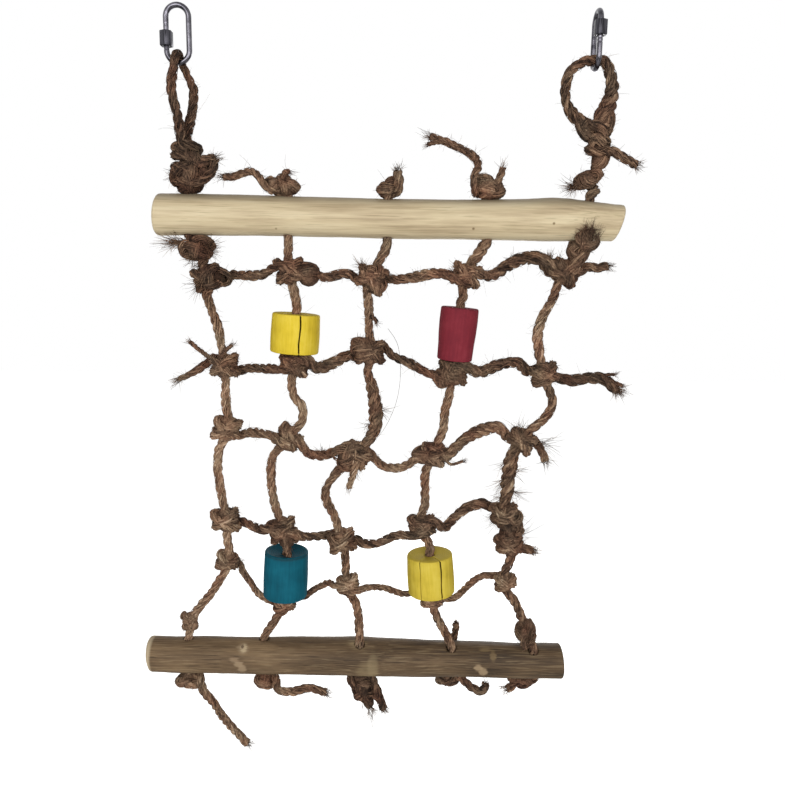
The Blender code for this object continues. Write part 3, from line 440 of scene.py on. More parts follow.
def shapeAt(shape, share):
    share = max(shape[0][0], min(shape[-1][0], share))
    for low, high in zip(shape, shape[1:]):
        if low[0] <= share <= high[0]:
            t = (share - low[0]) / (high[0] - low[0])
            return [a + (b - a) * t for a, b in zip(low[1:], high[1:])]


def followUpright(column):
    points, knots, folds, beads = [], [], [], {}
    items = uprightRoutes[column]
    spots = []
    for item in items:
        if item[0] == "fold":
            folds.append(at(item[1], foldDrops[len(folds)]))
            spots.append(folds[-1])
        else:
            spots.append(at(*(item[1:3] if isinstance(item[0], str) else item)))
    ahead = at((column - 3) * sizes["holePitch"], topR)
    passed = 0
    for i, item in enumerate(items):
        kind = item[0] if isinstance(item[0], str) else "bend"
        here = spots[i]
        before = spots[i - 1] if i else ahead
        if kind == "fold":
            passed += 1
            points.append(here)
        elif kind == "knot":
            axis = (before - spots[i + 1]).normalized()
            points += [here + axis * sizes["knotHold"], here, here - axis * sizes["knotHold"]]
            knots.append((here, axis))
        elif kind == "seat":
            cross = sizes["thinRope"] if passed == 3 else sizes["rope"]
            axis = (before - here).normalized()
            base = here + axis * ((cross + sizes["turnGap"]) / 2 + cross / 2 + sizes["touch"])
            top = base + axis * beadSizes[item[3]]["height"]
            points += [top, top - axis * sizes["knotHold"], here + axis * sizes["knotHold"]]
            points += [here, here - axis * sizes["knotHold"] * 0.7]
            knots.append((here, axis))
            beads[item[3]] = (base, axis)
        else:
            points.append(here)
    return points, knots, folds, beads


columns = {c: followUpright(c) for c in uprightRoutes}
holeXs = {c: (c - 3) * sizes["holePitch"] for c in columns}
tailStarts = {}


def upperLeft(first):
    x = holeXs[1]
    swing = Vector((sizes["linkLeftX"], 0, linkLowZ))
    bend = loopReach / math.cos(math.pi / 16)
    arc = []
    for n in range(9):
        angle = math.pi * n / 8
        arc.append(swing + Vector((0.002 * n / 8 - 0.001, -bend * math.cos(angle), bend * math.sin(angle))))
    wireDrop = perchZ - linkLowZ
    post = at(x + 0.0005, -0.031)
    around = sizes["rope"] + sizes["hitchGap"]
    twist = wrap(post, up, -1, 3, around, sizes["rope"], leads=(False, True))
    route = [at(-0.1085, -0.0335, -0.003), at(-0.1095, -0.0265, -0.0055), *reversed(twist)]
    route += [at(-0.1282, -0.0475, -0.0066), at(-0.1294, -0.0580, -0.0070), at(-0.1318, -0.0680, -0.0076)]
    route += [at(-0.1327, -0.0770, -0.0075), at(-0.1312, wireDrop + 0.0040, -0.0060), *arc]
    route += [at(-0.1268, wireDrop + 0.0050, 0.0060), at(-0.1236, -0.0780, 0.0075)]
    route += [at(-0.1234, -0.0700, 0.0070), at(-0.1246, -0.0600, 0.0048), at(-0.1258, -0.0520, 0.0012)]
    route += [post + up * 0.0155, post, at(x, -topR), at(x, 0), at(x, topR)]
    route += coil(at(x + 0.0005, topR + 0.0010), first + up * 0.0008, 1.8, 0.0040, Vector((-1, 0, 0)))[1:-1]
    return route


def upperRight(first):
    x = holeXs[5]
    lean = (at(0.1300, -0.060) - at(0.1306, -0.038)).normalized()
    post = at(0.1303, -0.0490)
    pin = Vector((sizes["linkRightX"], 0, linkLowZ + loopReach))
    around = sizes["rope"] + sizes["hitchGap"]
    twist = wrap(post, lean, -1, 2, around, sizes["rope"], leads=(False, True), pull=0.74)
    route = [at(0.1540, -0.0345, -0.003), at(0.1480, -0.0370, -0.0050), *reversed(twist)]
    route += [at(0.1235, -0.0570, -0.0050), at(0.1165, -0.0610, -0.0020), at(0.1105, -0.0690, 0)]
    route += [at(0.1082, -0.0800, 0), at(0.1115, -0.0905, 0), pin + Vector((-0.0060, 0, -0.0004)), pin]
    route += [pin + Vector((0.0050, 0, -0.0004)), at(0.1356, -0.0880, 0), at(0.1372, -0.0780, 0)]
    route += [at(0.1345, -0.0680, 0), post + lean * 0.0125, post, post - lean * 0.0125]
    route += coil(at(0.1305, -0.0350), at(x, -topR - 0.0010), 2.0, 0.0028, Vector((-1, 0, 0)))[1:]
    route += [at(x, 0), at(x, topR)]
    route += coil(at(x, topR + 0.0012), first + up * 0.0008, 1.2, 0.0026, Vector((1, 0, 0)))[1:-1]
    return route


# how tight each stopper is drawn, against the loose turns of its solid
knotPull = {"top": {2: 0.70, 3: 0.66, 4: 0.88}, "foot": {1: 0.70, 2: 0.64, 3: 0.85, 4: 0.66, 5: 0.70}}
# how far the outer ropes coil above the bottom perch
footCoils = {1: 0.0010, 5: 0.0024}


def stopperTop(column):
    ends = {2: ([], -1, 1), 3: (topEnd3, 1, -1), 4: ([], -1, 1)}
    end, side, way = ends[column]
    x = holeXs[column]
    radius = topR * shapeAt(topShape, x / sizes["topLength"])[2]
    knot = at(x, -radius - sizes["touch"]), up, Vector((side, 0, 0)), way
    tailStarts[f"tail_top_{column}"] = hitch(*knot)[-2:]
    turns = hitch(*knot, knotPull["top"][column])
    end = [at(*p) for p in end] or tailStarts[f"tail_top_{column}"][1:]
    return [*reversed(turns + end), at(x, -radius), at(x, 0), at(x, radius)]


def footRoute(column):
    x, roll = bottomHoles[column]
    lean = math.radians(roll)
    centre = at(x, bottomDrop)
    axis = Vector((0, -math.sin(lean), math.cos(lean)))
    radius = bottomR * shapeAt(bottomShape, (x - sizes["bottomShift"]) / sizes["bottomLength"])[2]
    mouth = centre + axis * (radius + 0.0010)
    fold = columns[column][2][3]
    start = fold + (mouth - fold).normalized() * (ropeR + sizes["touch"])
    points = [start, start.lerp(mouth, 0.15)]
    if column in footCoils:
        points += coil(points[1], mouth.lerp(start, 0.25), 0.8, footCoils[column], Vector((1, 0, 0)))[1:-1]
    side, way = (-1, -1) if column == 5 else (1, 1)
    knot = centre - axis * (radius + sizes["touch"]), -axis, Vector((side, 0, 0)), way
    tailStarts[f"tail_foot_{column}"] = hitch(*knot)[-2:]
    turns = hitch(*knot, knotPull["foot"][column])
    end = [at(*p) for p in footEnds[column]] or tailStarts[f"tail_foot_{column}"][1:]
    return points + [mouth, centre, centre - axis * radius, *turns, *end]


def wholeUpright(column):
    points = columns[column][0]
    if column == 1:
        top = upperLeft(points[0])
    elif column == 5:
        top = upperRight(points[0])
    else:
        top = stopperTop(column)
    return top + points + footRoute(column)[1:]


def crossRoute(row):
    items = crossRoutes[row]
    diameter = sizes["thinRope"] if row == 4 else sizes["rope"]
    order = {c: list(columns[c][1]) for c in columns}
    second = order[5].pop(4)
    points, knots = [], []
    for n, item in enumerate(items):
        if not isinstance(item[0], int):
            points.append(at(*item))
            continue
        column, side, turns = item
        centre, axis = order[column][row]
        leads = n > 0, n < len(items) - 1
        come = at(*items[n - 1]) if leads[0] else centre
        go = at(*items[n + 1]) if leads[1] else centre
        points += shorterWrap(come, go, centre, axis, side, turns, sizes["rope"], diameter, leads)
        knots.append((centre, axis))
    if row == 3:
        points += wrap(*second, 1, 1.5, sizes["rope"], diameter, leads=(False, False), heading=-1, pull=0.80)
        points += [at(*p) for p in rowEnd4]
        knots.append(second)
    if row == 1:
        tailStarts["tail_row_2"] = points[-2:]
    return points, knots, diameter


# Coir: coarse coconut husk fibre, hand laid in three strands, dry and matt, each yarn its own brown

ropeLook = {
    "step": 0.0014,
    "rowStep": 0.0015,
    "loopStep": 0.0018,
    "strands": 3,
    "yarns": 6,
    "layPitch": 0.0165,
    "core": 0.55,
    "strandOut": 0.48,
    "strandRadius": 0.58,
    "strandTint": 0.09,
    "yarnOut": 0.64,
    "yarnRadius": 0.42,
    "yarnSpread": (0.75, 1.2),
    "yarnTwist": 1.25,
    "yarnTint": 0.20,
    "unevenness": 0.16,
    "unevenLength": 0.013,
    "wander": 0.12,
    "wanderLength": 0.006,
    "pinch": 0.2,
    "pinchLength": 0.008,
}
fibreLook = {
    "fuzzPerMetre": 1300,
    "fuzzRadius": 0.000070,
    # share of the hairs up to this row, shortest, longest
    "fuzzLengths": [(0.80, 0.0012, 0.0034), (0.975, 0.0034, 0.0065), (1.0, 0.0065, 0.0120)],
    "fuzzRoot": 0.42,
    "fuzzOut": (0.35, 1.0),
    "fuzzAlong": (-1.0, 1.0),
    "fuzzStray": 0.3,
    "fuzzSpread": (0.7, 1.3),
    "lyingPerMetre": 1100,
    "lyingRadius": (0.00010, 0.00022),
    "lyingReach": (0.46, 0.53),
    "lyingSteps": (4, 7),
    "lyingSweep": (-0.25, 0.25),
    "lyingTone": (-0.30, 0.30),
    "tuftLength": (0.45, 1.1),
    "tuftSpread": (0.7, 1.5),
    "hairTones": (0.05, 0.15, 0.25, 0.4, 0.6),
    "shortHair": 0.0042,
    "netDepth": 0.0235,
    "rootGap": 0.0006,
    "tuftReach": 0.012,
    "cutEnd": {"count": 24, "length": 0.004, "spread": 0.45},
    "tailEnd": {"length": 0.007, "spread": 0.45},
    "stray": {"step": 0.004, "radius": 0.00011, "tone": 0.1},
}
# the tone along each upright, as (drop, tone), and where it is slack and fat: (x, drop), half length, extra
ropeShades = {
    1: [
        (-0.090, 0.30), (-0.030, 0.22), (0.020, 0.30), (0.055, 0.58), (0.120, 0.72), (0.260, 0.64),
        (0.330, 0.56),
    ],
    2: [(-0.030, 0.50), (0.030, 0.54), (0.120, 0.58), (0.200, 0.50), (0.330, 0.54)],
    3: [(-0.030, 0.44), (0.040, 0.52), (0.130, 0.42), (0.180, 0.50), (0.295, 0.50), (0.318, 0.28)],
    4: [(-0.030, 0.52), (0.040, 0.58), (0.120, 0.66), (0.200, 0.58), (0.300, 0.48), (0.318, 0.34)],
    5: [
        (-0.090, 0.33), (0.020, 0.34), (0.050, 0.48), (0.065, 0.64), (0.085, 0.60), (0.105, 0.46),
        (0.330, 0.40),
    ],
}
ropeSwells = {
    1: [((-0.1300, -0.0950), 0.014, -0.22)],
    2: [],
    3: [((-0.0085, 0.1260), 0.024, 0.55)],
    4: [((0.0590, 0.0200), 0.012, 0.25)],
    5: [
        ((0.1365, -0.0760), 0.018, 0.40), ((0.1340, -0.0640), 0.014, 0.35), ((0.1165, -0.0620), 0.012, 0.30),
        ((0.0835, 0.1680), 0.026, 0.60), ((0.0985, 0.0700), 0.020, 0.12),
    ],
}
# the same along each row, as (x, tone)
crossShades = [
    [
        (-0.130, 0.34), (-0.020, 0.36), (0.016, 0.50), (0.046, 0.40), (0.076, 0.26), (0.115, 0.32),
        (0.145, 0.38),
    ],
    [(-0.140, 0.54), (-0.112, 0.42), (-0.080, 0.40), (-0.030, 0.42), (0.110, 0.38)],
    [(-0.110, 0.47), (-0.030, 0.50), (0.000, 0.54), (0.020, 0.53), (0.060, 0.47), (0.110, 0.46)],
    [(-0.110, 0.37), (0.030, 0.38), (0.070, 0.42), (0.110, 0.41)],
    [(-0.110, 0.51), (0.040, 0.50), (0.065, 0.58), (0.090, 0.56)],
]
crossSwells = [
    [((0.0850, 0.0250), 0.030, 0.40), ((0.0180, 0.0366), 0.016, 0.15)],
    [((0.0720, 0.0955), 0.030, 0.30), ((-0.0380, 0.0940), 0.022, 0.35), ((-0.1390, 0.1070), 0.016, -0.35)],
    [((0.0640, 0.1375), 0.028, 0.42), ((-0.0420, 0.1560), 0.014, 0.10)],
    [((0.0600, 0.1905), 0.022, 0.15)],
    [],
]


coirShades = [(0.0, "#2b2019"), (0.25, "#5a4536"), (0.5, "#80644e"), (0.75, "#a58669"), (1.0, "#ccb195")]


def coirMaterial(name):
    mat, tree, shader = newMaterial(name, {"Roughness": 0.92, "Specular IOR Level": 0.18})
    coords = addNode(tree, "TexCoord")
    place = coords.outputs["Object"]
    yarn = addNode(tree, "Attribute", {"attribute_name": "fibre"}).outputs["Fac"]
    along = addNode(tree, "Attribute", {"attribute_name": "along"}).outputs["Fac"]
    around = addNode(tree, "SeparateXYZ", inputs={0: coords.outputs["UV"]}).outputs["Y"]
    # bundles of fibre on each yarn, 5 mm long and a third of its way round
    bundle = addNode(tree, "CombineXYZ", inputs={"X": along, "Y": around, "Z": yarn})
    bundle = addNode(tree, "Mapping", inputs={"Vector": bundle, "Scale": (1 / 0.005, 3.0, 60.0)})
    streak = addNode(tree, "TexNoise", inputs={"Vector": bundle, "Scale": 1.0, "Detail": 3.0})
    # weathered and fresher stretches, about 20 mm long
    patch = addNode(tree, "TexNoise", inputs={"Vector": place, "Scale": 1 / 0.020, "Detail": 2.0})
    # single fibres are 0.2 mm and are drawn at 1.5 mm so that they show
    husk = addNode(
        tree, "TexNoise", inputs={"Vector": place, "Scale": 1 / 0.0015, "Detail": 4.0, "Roughness": 0.7}
    )
    tone = addNode(tree, "Math", {"operation": "SUBTRACT"}, {0: yarn, 1: 1.19})
    for source, share in ((patch, 0.40), (streak, 1.00), (husk, 0.96)):
        tone = addNode(tree, "Math", {"operation": "MULTIPLY_ADD"}, {0: source, 1: share, 2: tone})
    colour = addNode(tree, "ValToRGB", inputs={"Fac": tone}, stops=coirShades)
    # redder and yellower stretches of husk, about 16 mm long
    ripe = addNode(tree, "TexNoise", inputs={"Vector": place, "Scale": 1 / 0.016, "Detail": 4.0})
    turned = addNode(tree, "HueSaturation", inputs={"Color": colour})
    for socket, red, yellow in (("Hue", 0.484, 0.509), ("Saturation", 1.08, 0.88)):
        ranges = {"From Min": 0.32, "From Max": 0.68, "To Min": red, "To Max": yellow}
        shift = addNode(tree, "MapRange", inputs={"Value": ripe, **ranges})
        tree.links.new(shift.outputs[0], turned.inputs[socket])
    tree.links.new(turned.outputs["Color"], shader.inputs["Base Color"])
    bump = addNode(tree, "Bump", inputs={"Height": husk, "Strength": 0.9, "Distance": 0.0005})
    tree.links.new(bump.outputs["Normal"], shader.inputs["Normal"])
    return mat


coir = coirMaterial("coirRope")
coirTwine = coirMaterial("coirTwineRow5")


def curveMesh(name, lines, mat, sides=0):
    data = bpy.data.curves.new(name, "CURVE")
    data.dimensions = "3D"
    data.bevel_depth = 1.0
    data.bevel_resolution = sides
    data.use_fill_caps = True
    for points, radii, _ in lines:
        spline = data.splines.new("POLY")
        spline.points.add(len(points) - 1)
        spline.points.foreach_set("co", [c for p in points for c in (*p, 1.0)])
        spline.points.foreach_set("radius", radii)
    tube = bpy.data.objects.new(name, data)
    scene.collection.objects.link(tube)
    mesh = bpy.data.meshes.new_from_object(tube.evaluated_get(bpy.context.evaluated_depsgraph_get()))
    bpy.data.objects.remove(tube, do_unlink=True)
    bpy.data.curves.remove(data)
    ring = 4 + 2 * sides
    tones, runs = [], []  # the caps come first, from the last line to the first
    for _, _, tone in reversed(lines):
        tones += [tone[-1]] * ring + [tone[0]] * ring
        runs += [0.0] * (2 * ring)
    for points, _, tone in lines:
        run = 0.0
        for i, value in enumerate(tone):
            run += (points[i] - points[i - 1]).length if i else 0.0
            tones += [value] * ring
            runs += [run] * ring
    for key, values in (("fibre", tones), ("along", runs)):
        mesh.attributes.new(key, "FLOAT", "POINT").data.foreach_set("value", values)
    bm = bmesh.new()
    bm.from_mesh(mesh)
    bmesh.ops.remove_doubles(bm, verts=bm.verts, dist=1e-6)
    bm.to_mesh(mesh)
    bm.free()
    mesh.name = name
    mesh.materials.clear()
    mesh.materials.append(mat)
    mesh.shade_smooth()
    obj = bpy.data.objects.new(name, mesh)
    scene.collection.objects.link(obj)
    return obj


def carryFrames(route):
    tangents = []
    for i in range(len(route)):
        step = route[min(i + 1, len(route) - 1)] - route[max(i - 1, 0)]
        tangents.append(step.normalized())
    side = tangents[0].orthogonal().normalized()
    frames = []
    for tangent in tangents:
        side = (side - tangent * side.dot(tangent)).normalized()
        frames.append((tangent, side, tangent.cross(side)))
    return frames


def toneAt(table, place):
    for (low, a), (high, b) in zip(table, table[1:]):
        if place <= high:
            return a + (b - a) * max(0.0, place - low) / (high - low)
    return table[-1][1]


def routeLength(route):
    return sum((b - a).length for a, b in zip(route, route[1:]))


# the yarns of a laid rope with its core first, and the frames of its uneven surface
def layRope(route, diameter, rng, shade, swells=(), look=ropeLook):
    frames = carryFrames(route)
    along = [0.0]
    for a, b in zip(route, route[1:]):
        along.append(along[-1] + (b - a).length)
    radius = diameter / 2
    pitch = look["layPitch"] * diameter / sizes["rope"]
    shift = rng.random() * 100
    swell = []
    for p, s in zip(route, along):
        fat = 0.0
        for (x, drop), half, extra in swells:
            fat += extra * max(0.0, 1 - ((p - at(x, drop, p.y)).length / half) ** 2)
        swell.append(1 + fat + look["unevenness"] * noise.noise((s / look["unevenLength"], shift, 0.0)))
    tones = [shade(p) for p in route]
    strandR = radius * look["strandRadius"]
    # the core has fibre tone 0, the darkest, as painted shade in the gaps between the strands
    lines = [(route, [radius * look["core"] * w for w in swell], [0.0] * len(route))]
    for n in range(look["strands"]):
        base = rng.uniform(-look["strandTint"], look["strandTint"])
        start = 2 * math.pi * n / look["strands"]
        for yarn in range(look["yarns"]):
            phase = 2 * math.pi * yarn / look["yarns"] + rng.uniform(-0.3, 0.3)
            tint = base + rng.uniform(-look["yarnTint"], look["yarnTint"])
            thick = look["yarnRadius"] * strandR * rng.uniform(*look["yarnSpread"])
            seed = rng.random() * 50
            points, radii = [], []
            for p, (_, first, second), s, w in zip(route, frames, along, swell):
                turn = start + 2 * math.pi * s / pitch
                roll = phase - look["yarnTwist"] * 2 * math.pi * s / pitch
                wander = look["wander"] * radius * noise.noise((s / look["wanderLength"], seed, 3.0))
                out = radius * look["strandOut"] * w
                ring = strandR * look["yarnOut"] * w + wander
                a = math.cos(turn) * out + math.cos(turn + roll) * ring
                b = math.sin(turn) * out + math.sin(turn + roll) * ring
                points.append(p + first * a + second * b)
                pinch = look["pinch"] * noise.noise((s / look["pinchLength"], seed, 9.0))
                radii.append(thick * w * (1 + pinch))
            lines.append((points, radii, [tone + tint for tone in tones]))
    return lines, [(tangent, first * w, second * w) for (tangent, first, second), w in zip(frames, swell)]


def scatter(rng):
    return Vector((rng.gauss(0, 1), rng.gauss(0, 1), rng.gauss(0, 1)))


# one loose fibre; none reaches further in front of or behind the net than its depth
def hair(root, direction, length, rng, thick):
    bend = Vector((rng.uniform(-1, 1), rng.uniform(-1, 1), rng.uniform(-1, 1))) * length * 0.5
    shares = (0.0, 0.5, 1.0) if length < fibreLook["shortHair"] else (0.0, 0.35, 0.7, 1.0)
    points = [root + direction * length * t + bend * t * t for t in shares]
    if abs(points[-1].y) > fibreLook["netDepth"]:
        beyond = abs(points[-1].y) - abs(root.y)
        for p in points:
            p.y = root.y + (p.y - root.y) * (fibreLook["netDepth"] - abs(root.y)) / beyond
    radii = [thick * (1 - 0.65 * t * t) for t in shares]
    return points, radii, [rng.choice(fibreLook["hairTones"])] * len(shares)


# the yarns that loose hairs may grow from
def yarnPoints(lines):
    spots = [p for points, _, _ in lines if len(points) > 4 for p in points]
    tree = kdtree.KDTree(len(spots))
    for n, p in enumerate(spots):
        tree.insert(p, n)
    tree.balance()
    return tree


def rootOn(root, yarns):
    nearest, _, far = yarns.find(root)
    return nearest if far > fibreLook["rootGap"] else root


# a knot pulled tight is a felted lump: bands of yarns lie over it, with fibres standing out
lumpLook = {
    "core": 0.86,
    # the core is drawn darker than the bands, as painted shade in the gaps between them
    "coreShadeTone": -0.10,
    "coreSteps": (-0.95, -0.75, -0.4, 0.0, 0.4, 0.75, 0.95),
    "leastBands": 3,
    "bandYarns": 11,
    "bandSpan": (1.4, 2.8),
    "bandWidth": (0.22, 0.36),
    "bandHeight": (0.93, 1.05),
    "bandTone": (-0.10, 0.12),
    "yarnPoints": 8,
    "yarnRadius": (0.00034, 0.00060),
    "yarnTone": (-0.18, 0.18),
    "hairShare": 0.5,
    "hairLength": (0.0012, 0.0045),
    "hairRadius": (0.00006, 0.00010),
}


def matted(place, half, count, shade, rng, roll=0.0, look=lumpLook):
    turn = Matrix.Rotation(math.radians(roll), 3, "Y")
    steps = look["coreSteps"]
    core = [place + turn @ Vector((0, 0, half[2] * t)) for t in steps]
    thin = look["core"] * min(half[:2])
    lines = [(core, [thin * math.sqrt(1 - t * t) for t in steps], [shade + look["coreShadeTone"]] * len(steps))]
    last = look["yarnPoints"] - 1
    for _ in range(max(look["leastBands"], round(count / look["bandYarns"]))):
        pole = scatter(rng).normalized()
        first = pole.orthogonal().normalized()
        second = pole.cross(first)
        begin = rng.uniform(0, 2 * math.pi)
        span = rng.uniform(*look["bandSpan"])
        wide = rng.uniform(*look["bandWidth"])
        height = rng.uniform(*look["bandHeight"])
        bandTone = shade + rng.uniform(*look["bandTone"])
        for yarn in range(look["bandYarns"]):
            side = wide * (2 * yarn / (look["bandYarns"] - 1) - 1) + rng.uniform(-0.04, 0.04)
            lift = height - 0.10 * (side / wide) ** 2 + rng.uniform(-0.02, 0.02)
            start = begin + rng.uniform(-0.2, 0.2)
            thick = rng.uniform(*look["yarnRadius"])
            points = []
            for n in range(last + 1):
                angle = start + span * n / last
                ring = first * math.cos(angle) + second * math.sin(angle)
                out = ring * math.cos(side) + pole * math.sin(side)
                sink = lift - 0.22 * abs(2 * n / last - 1) ** 3
                points.append(place + turn @ Vector([o * h * sink for o, h in zip(out, half)]))
            radii = [thick * (0.6 if n in (0, last) else 1.0) for n in range(last + 1)]
            lines.append((points, radii, [bandTone + rng.uniform(*look["yarnTone"])] * (last + 1)))
    yarns = yarnPoints(lines)
    for _ in range(round(count * look["hairShare"])):
        out = scatter(rng).normalized()
        root = rootOn(place + turn @ Vector([o * h * 0.95 for o, h in zip(out, half)]), yarns)
        direction = (out + scatter(rng) * 0.5).normalized()
        length = rng.uniform(*look["hairLength"])
        lines.append(hair(root, direction, length, rng, rng.uniform(*look["hairRadius"])))
    return lines


# a loose strand or a cut rope end: thinner than the rope, one twist of yarns
def strand(points, diameter, shade, rng):
    route = smoothRoute([at(*p) for p in points], ropeLook["step"])
    lines, frames = layRope(route, diameter, rng, lambda p: shade)
    lines += fuzz(route, frames, diameter, rng, 0, len(route) - 1, 1.2)
    ahead = route[-1] - route[-3]
    return lines + tuft(rng, lines, route[-1], ahead, size=diameter / 2, **fibreLook["cutEnd"])


# short hairs all along the rope, a few of them long
def fuzz(route, frames, diameter, rng, low, high, density=1.0):
    run = routeLength(route[low : high + 1])
    hairs = []
    for _ in range(round(run * fibreLook["fuzzPerMetre"] * density)):
        i = rng.randint(low, high)
        tangent, first, second = frames[i]
        angle = rng.uniform(0, 2 * math.pi)
        out = first * math.cos(angle) + second * math.sin(angle)
        pick = rng.random()
        shortest, longest = next((a, b) for share, a, b in fibreLook["fuzzLengths"] if pick < share)
        length = rng.uniform(shortest, longest)
        stray = scatter(rng) * fibreLook["fuzzStray"]
        direction = out * rng.uniform(*fibreLook["fuzzOut"]) + tangent * rng.uniform(*fibreLook["fuzzAlong"])
        direction = (direction + stray).normalized()
        thick = fibreLook["fuzzRadius"] * rng.uniform(*fibreLook["fuzzSpread"])
        hairs.append(hair(route[i] + out * diameter * fibreLook["fuzzRoot"], direction, length, rng, thick))
    return hairs


# fibres that lie along the rope and break up the lay
def lying(route, frames, diameter, rng, low, high, shade):
    run = routeLength(route[low : high + 1])
    fibres = []
    for _ in range(round(run * fibreLook["lyingPerMetre"])):
        i = rng.randint(low, high)
        angle = rng.uniform(0, 2 * math.pi)
        sweep = rng.uniform(*fibreLook["lyingSweep"])
        reach = diameter * rng.uniform(*fibreLook["lyingReach"])
        points = []
        for n in range(i, min(i + rng.randint(*fibreLook["lyingSteps"]), high + 1)):
            _, first, second = frames[n]
            points.append(route[n] + (first * math.cos(angle) + second * math.sin(angle)) * reach)
            angle += sweep
        if len(points) > 2:
            thick = rng.uniform(*fibreLook["lyingRadius"])
            tone = shade(points[0]) + rng.uniform(*fibreLook["lyingTone"])
            radii = [thick * 0.5] + [thick] * (len(points) - 2) + [thick * 0.5]
            fibres.append((points, radii, [tone] * len(points)))
    return fibres


# a frayed bunch of hairs
def tuft(rng, lines, place, towards, count, length, spread, thick=0.00010, size=0.0025):
    axis = Vector(towards).normalized()
    yarns = yarnPoints(lines)
    hairs = []
    for _ in range(count):
        root = rootOn(place + scatter(rng) * size * 0.5, yarns)
        direction = (axis + scatter(rng) * spread).normalized()
        long = length * rng.uniform(*fibreLook["tuftLength"])
        hairs.append(hair(root, direction, long, rng, thick * rng.uniform(*fibreLook["tuftSpread"])))
    return hairs


def knotTurn(centre, axis, tilt, side, front):
    first, second = across(axis, Vector((1, 0, 0)))
    points = []
    for n in range(15):
        angle = math.pi / 2 + 2 * math.pi * n / 14
        out = first * math.cos(angle) * side + second * math.sin(angle) * front
        points.append(centre + out + axis * tilt * math.cos(angle) * side)
    return points


def nearestIndex(route, place):
    return min(range(len(route)), key=lambda i: (route[i] - place).length_squared)


# Uprights: one laid rope from end to end, cut inside its knots and running across each fold line

# the top part of each upright, hidden with its first piece
upperNodes = {
    1: "hanging_rope_left", 2: "upright_2_top", 3: "upright_3_top", 4: "upright_4_top",
    5: "hanging_rope_right",
}
# felted lumps where a rope is knotted on itself: place, half sizes, yarns, tone, lean in degrees
lumps = {
    1: [
        (at(-0.1262, -0.0225, -0.001), (0.0108, 0.0098, 0.0105), 170, 0.20, -20),
        (at(-0.1235, -0.0335, -0.001), (0.0098, 0.0092, 0.0062), 90, 0.24, 25),
        (at(-0.1278, -0.0400, -0.001), (0.0080, 0.0085, 0.0050), 60, 0.32, 0),
        (at(-0.1160, -0.0275, -0.001), (0.0066, 0.0080, 0.0075), 70, 0.22, 20),
        (at(-0.1212, 0.0205, -0.001), (0.0122, 0.0100, 0.0085), 150, 0.32, 0),
        (at(-0.1338, 0.2752, -0.001), (0.0050, 0.0056, 0.0066), 70, 0.52, 0),
        (at(-0.1368, 0.2716, -0.002), (0.0030, 0.0044, 0.0034), 33, 0.50, 0),
        (at(-0.1372, 0.2792, -0.002), (0.0028, 0.0042, 0.0028), 33, 0.48, 0),
        (at(-0.1306, 0.2784, -0.002), (0.0036, 0.0046, 0.0034), 33, 0.46, 20),
        (at(-0.1375, 0.3190, -0.001), (0.0082, 0.0080, 0.0052), 80, 0.46, 0),
    ],
    2: [
        (at(-0.0645, -0.0170, 0.0), (0.0088, 0.0080, 0.0054), 90, 0.44, -12),
        (at(-0.0722, -0.0192, -0.002), (0.0062, 0.0060, 0.0046), 50, 0.46, 40),
        (at(-0.0822, 0.3188, -0.001), (0.0078, 0.0078, 0.0050), 80, 0.48, 0),
    ],
    3: [
        (at(-0.0012, -0.0172, 0.0), (0.0070, 0.0075, 0.0056), 70, 0.40, 20),
        (at(-0.0160, 0.3195, 0.001), (0.0088, 0.0088, 0.0064), 90, 0.24, 20),
        (at(-0.0128, 0.3258, -0.001), (0.0078, 0.0080, 0.0088), 100, 0.22, -30),
        (at(-0.0098, 0.3322, -0.002), (0.0048, 0.0056, 0.0066), 44, 0.24, -30),
        (at(-0.0034, 0.3275, -0.001), (0.0046, 0.0052, 0.0052), 44, 0.20, 0),
    ],
    4: [
        (at(0.0632, -0.0180, -0.001), (0.0108, 0.0092, 0.0066), 110, 0.48, 0),
        (at(0.0455, 0.3184, 0.004), (0.0076, 0.0078, 0.0050), 80, 0.36, 0),
    ],
    5: [
        (at(0.1296, -0.0495, -0.001), (0.0070, 0.0074, 0.0104), 90, 0.36, 0),
        (at(0.1210, -0.0555, -0.002), (0.0060, 0.0066, 0.0092), 60, 0.32, -30),
        (at(0.1332, -0.0585, -0.001), (0.0066, 0.0068, 0.0105), 70, 0.36, 12),
        (at(0.1318, -0.0395, -0.001), (0.0062, 0.0060, 0.0090), 60, 0.38, 10),
        (at(0.1245, -0.0255, -0.001), (0.0118, 0.0082, 0.0056), 110, 0.36, -30),
        (at(0.1222, 0.0188, -0.001), (0.0084, 0.0090, 0.0090), 120, 0.34, 12),
        (at(0.1244, 0.0122, -0.0105), (0.0078, 0.0046, 0.0072), 110, 0.30, 0),
        (at(0.1003, 0.2785, -0.002), (0.0080, 0.0082, 0.0092), 120, 0.36, 0),
        (at(0.0985, 0.3184, 0.003), (0.0088, 0.0080, 0.0050), 90, 0.32, 0),
    ],
}
# cut ends and loose strands: points (x, drop, y), diameter, tone
upperStrands = {
    1: [([(-0.1160, -0.0330, -0.007), (-0.1110, -0.0345, -0.006), (-0.1080, -0.0350, -0.005)], 0.0042, 0.26)],
    2: [([(-0.0655, -0.0220, -0.006), (-0.0640, -0.0270, -0.006), (-0.0615, -0.0262, -0.006)], 0.0036, 0.36)],
    4: [([(0.0670, -0.0215, -0.007), (0.0695, -0.0265, -0.007), (0.0708, -0.0310, -0.006)], 0.0046, 0.48)],
}
stubBehind = [
    (0.0500, 0.3180, 0.0120), (0.0505, 0.3080, 0.0172), (0.0520, 0.2950, 0.0168), (0.0527, 0.2810, 0.0130),
]
lowerStrands = {
    4: [(stubBehind, 0.0050, 0.40)],
    5: [([(0.0985, 0.2870, -0.009), (0.0960, 0.2800, -0.011), (0.0975, 0.2725, -0.009)], 0.0046, 0.40)],
}
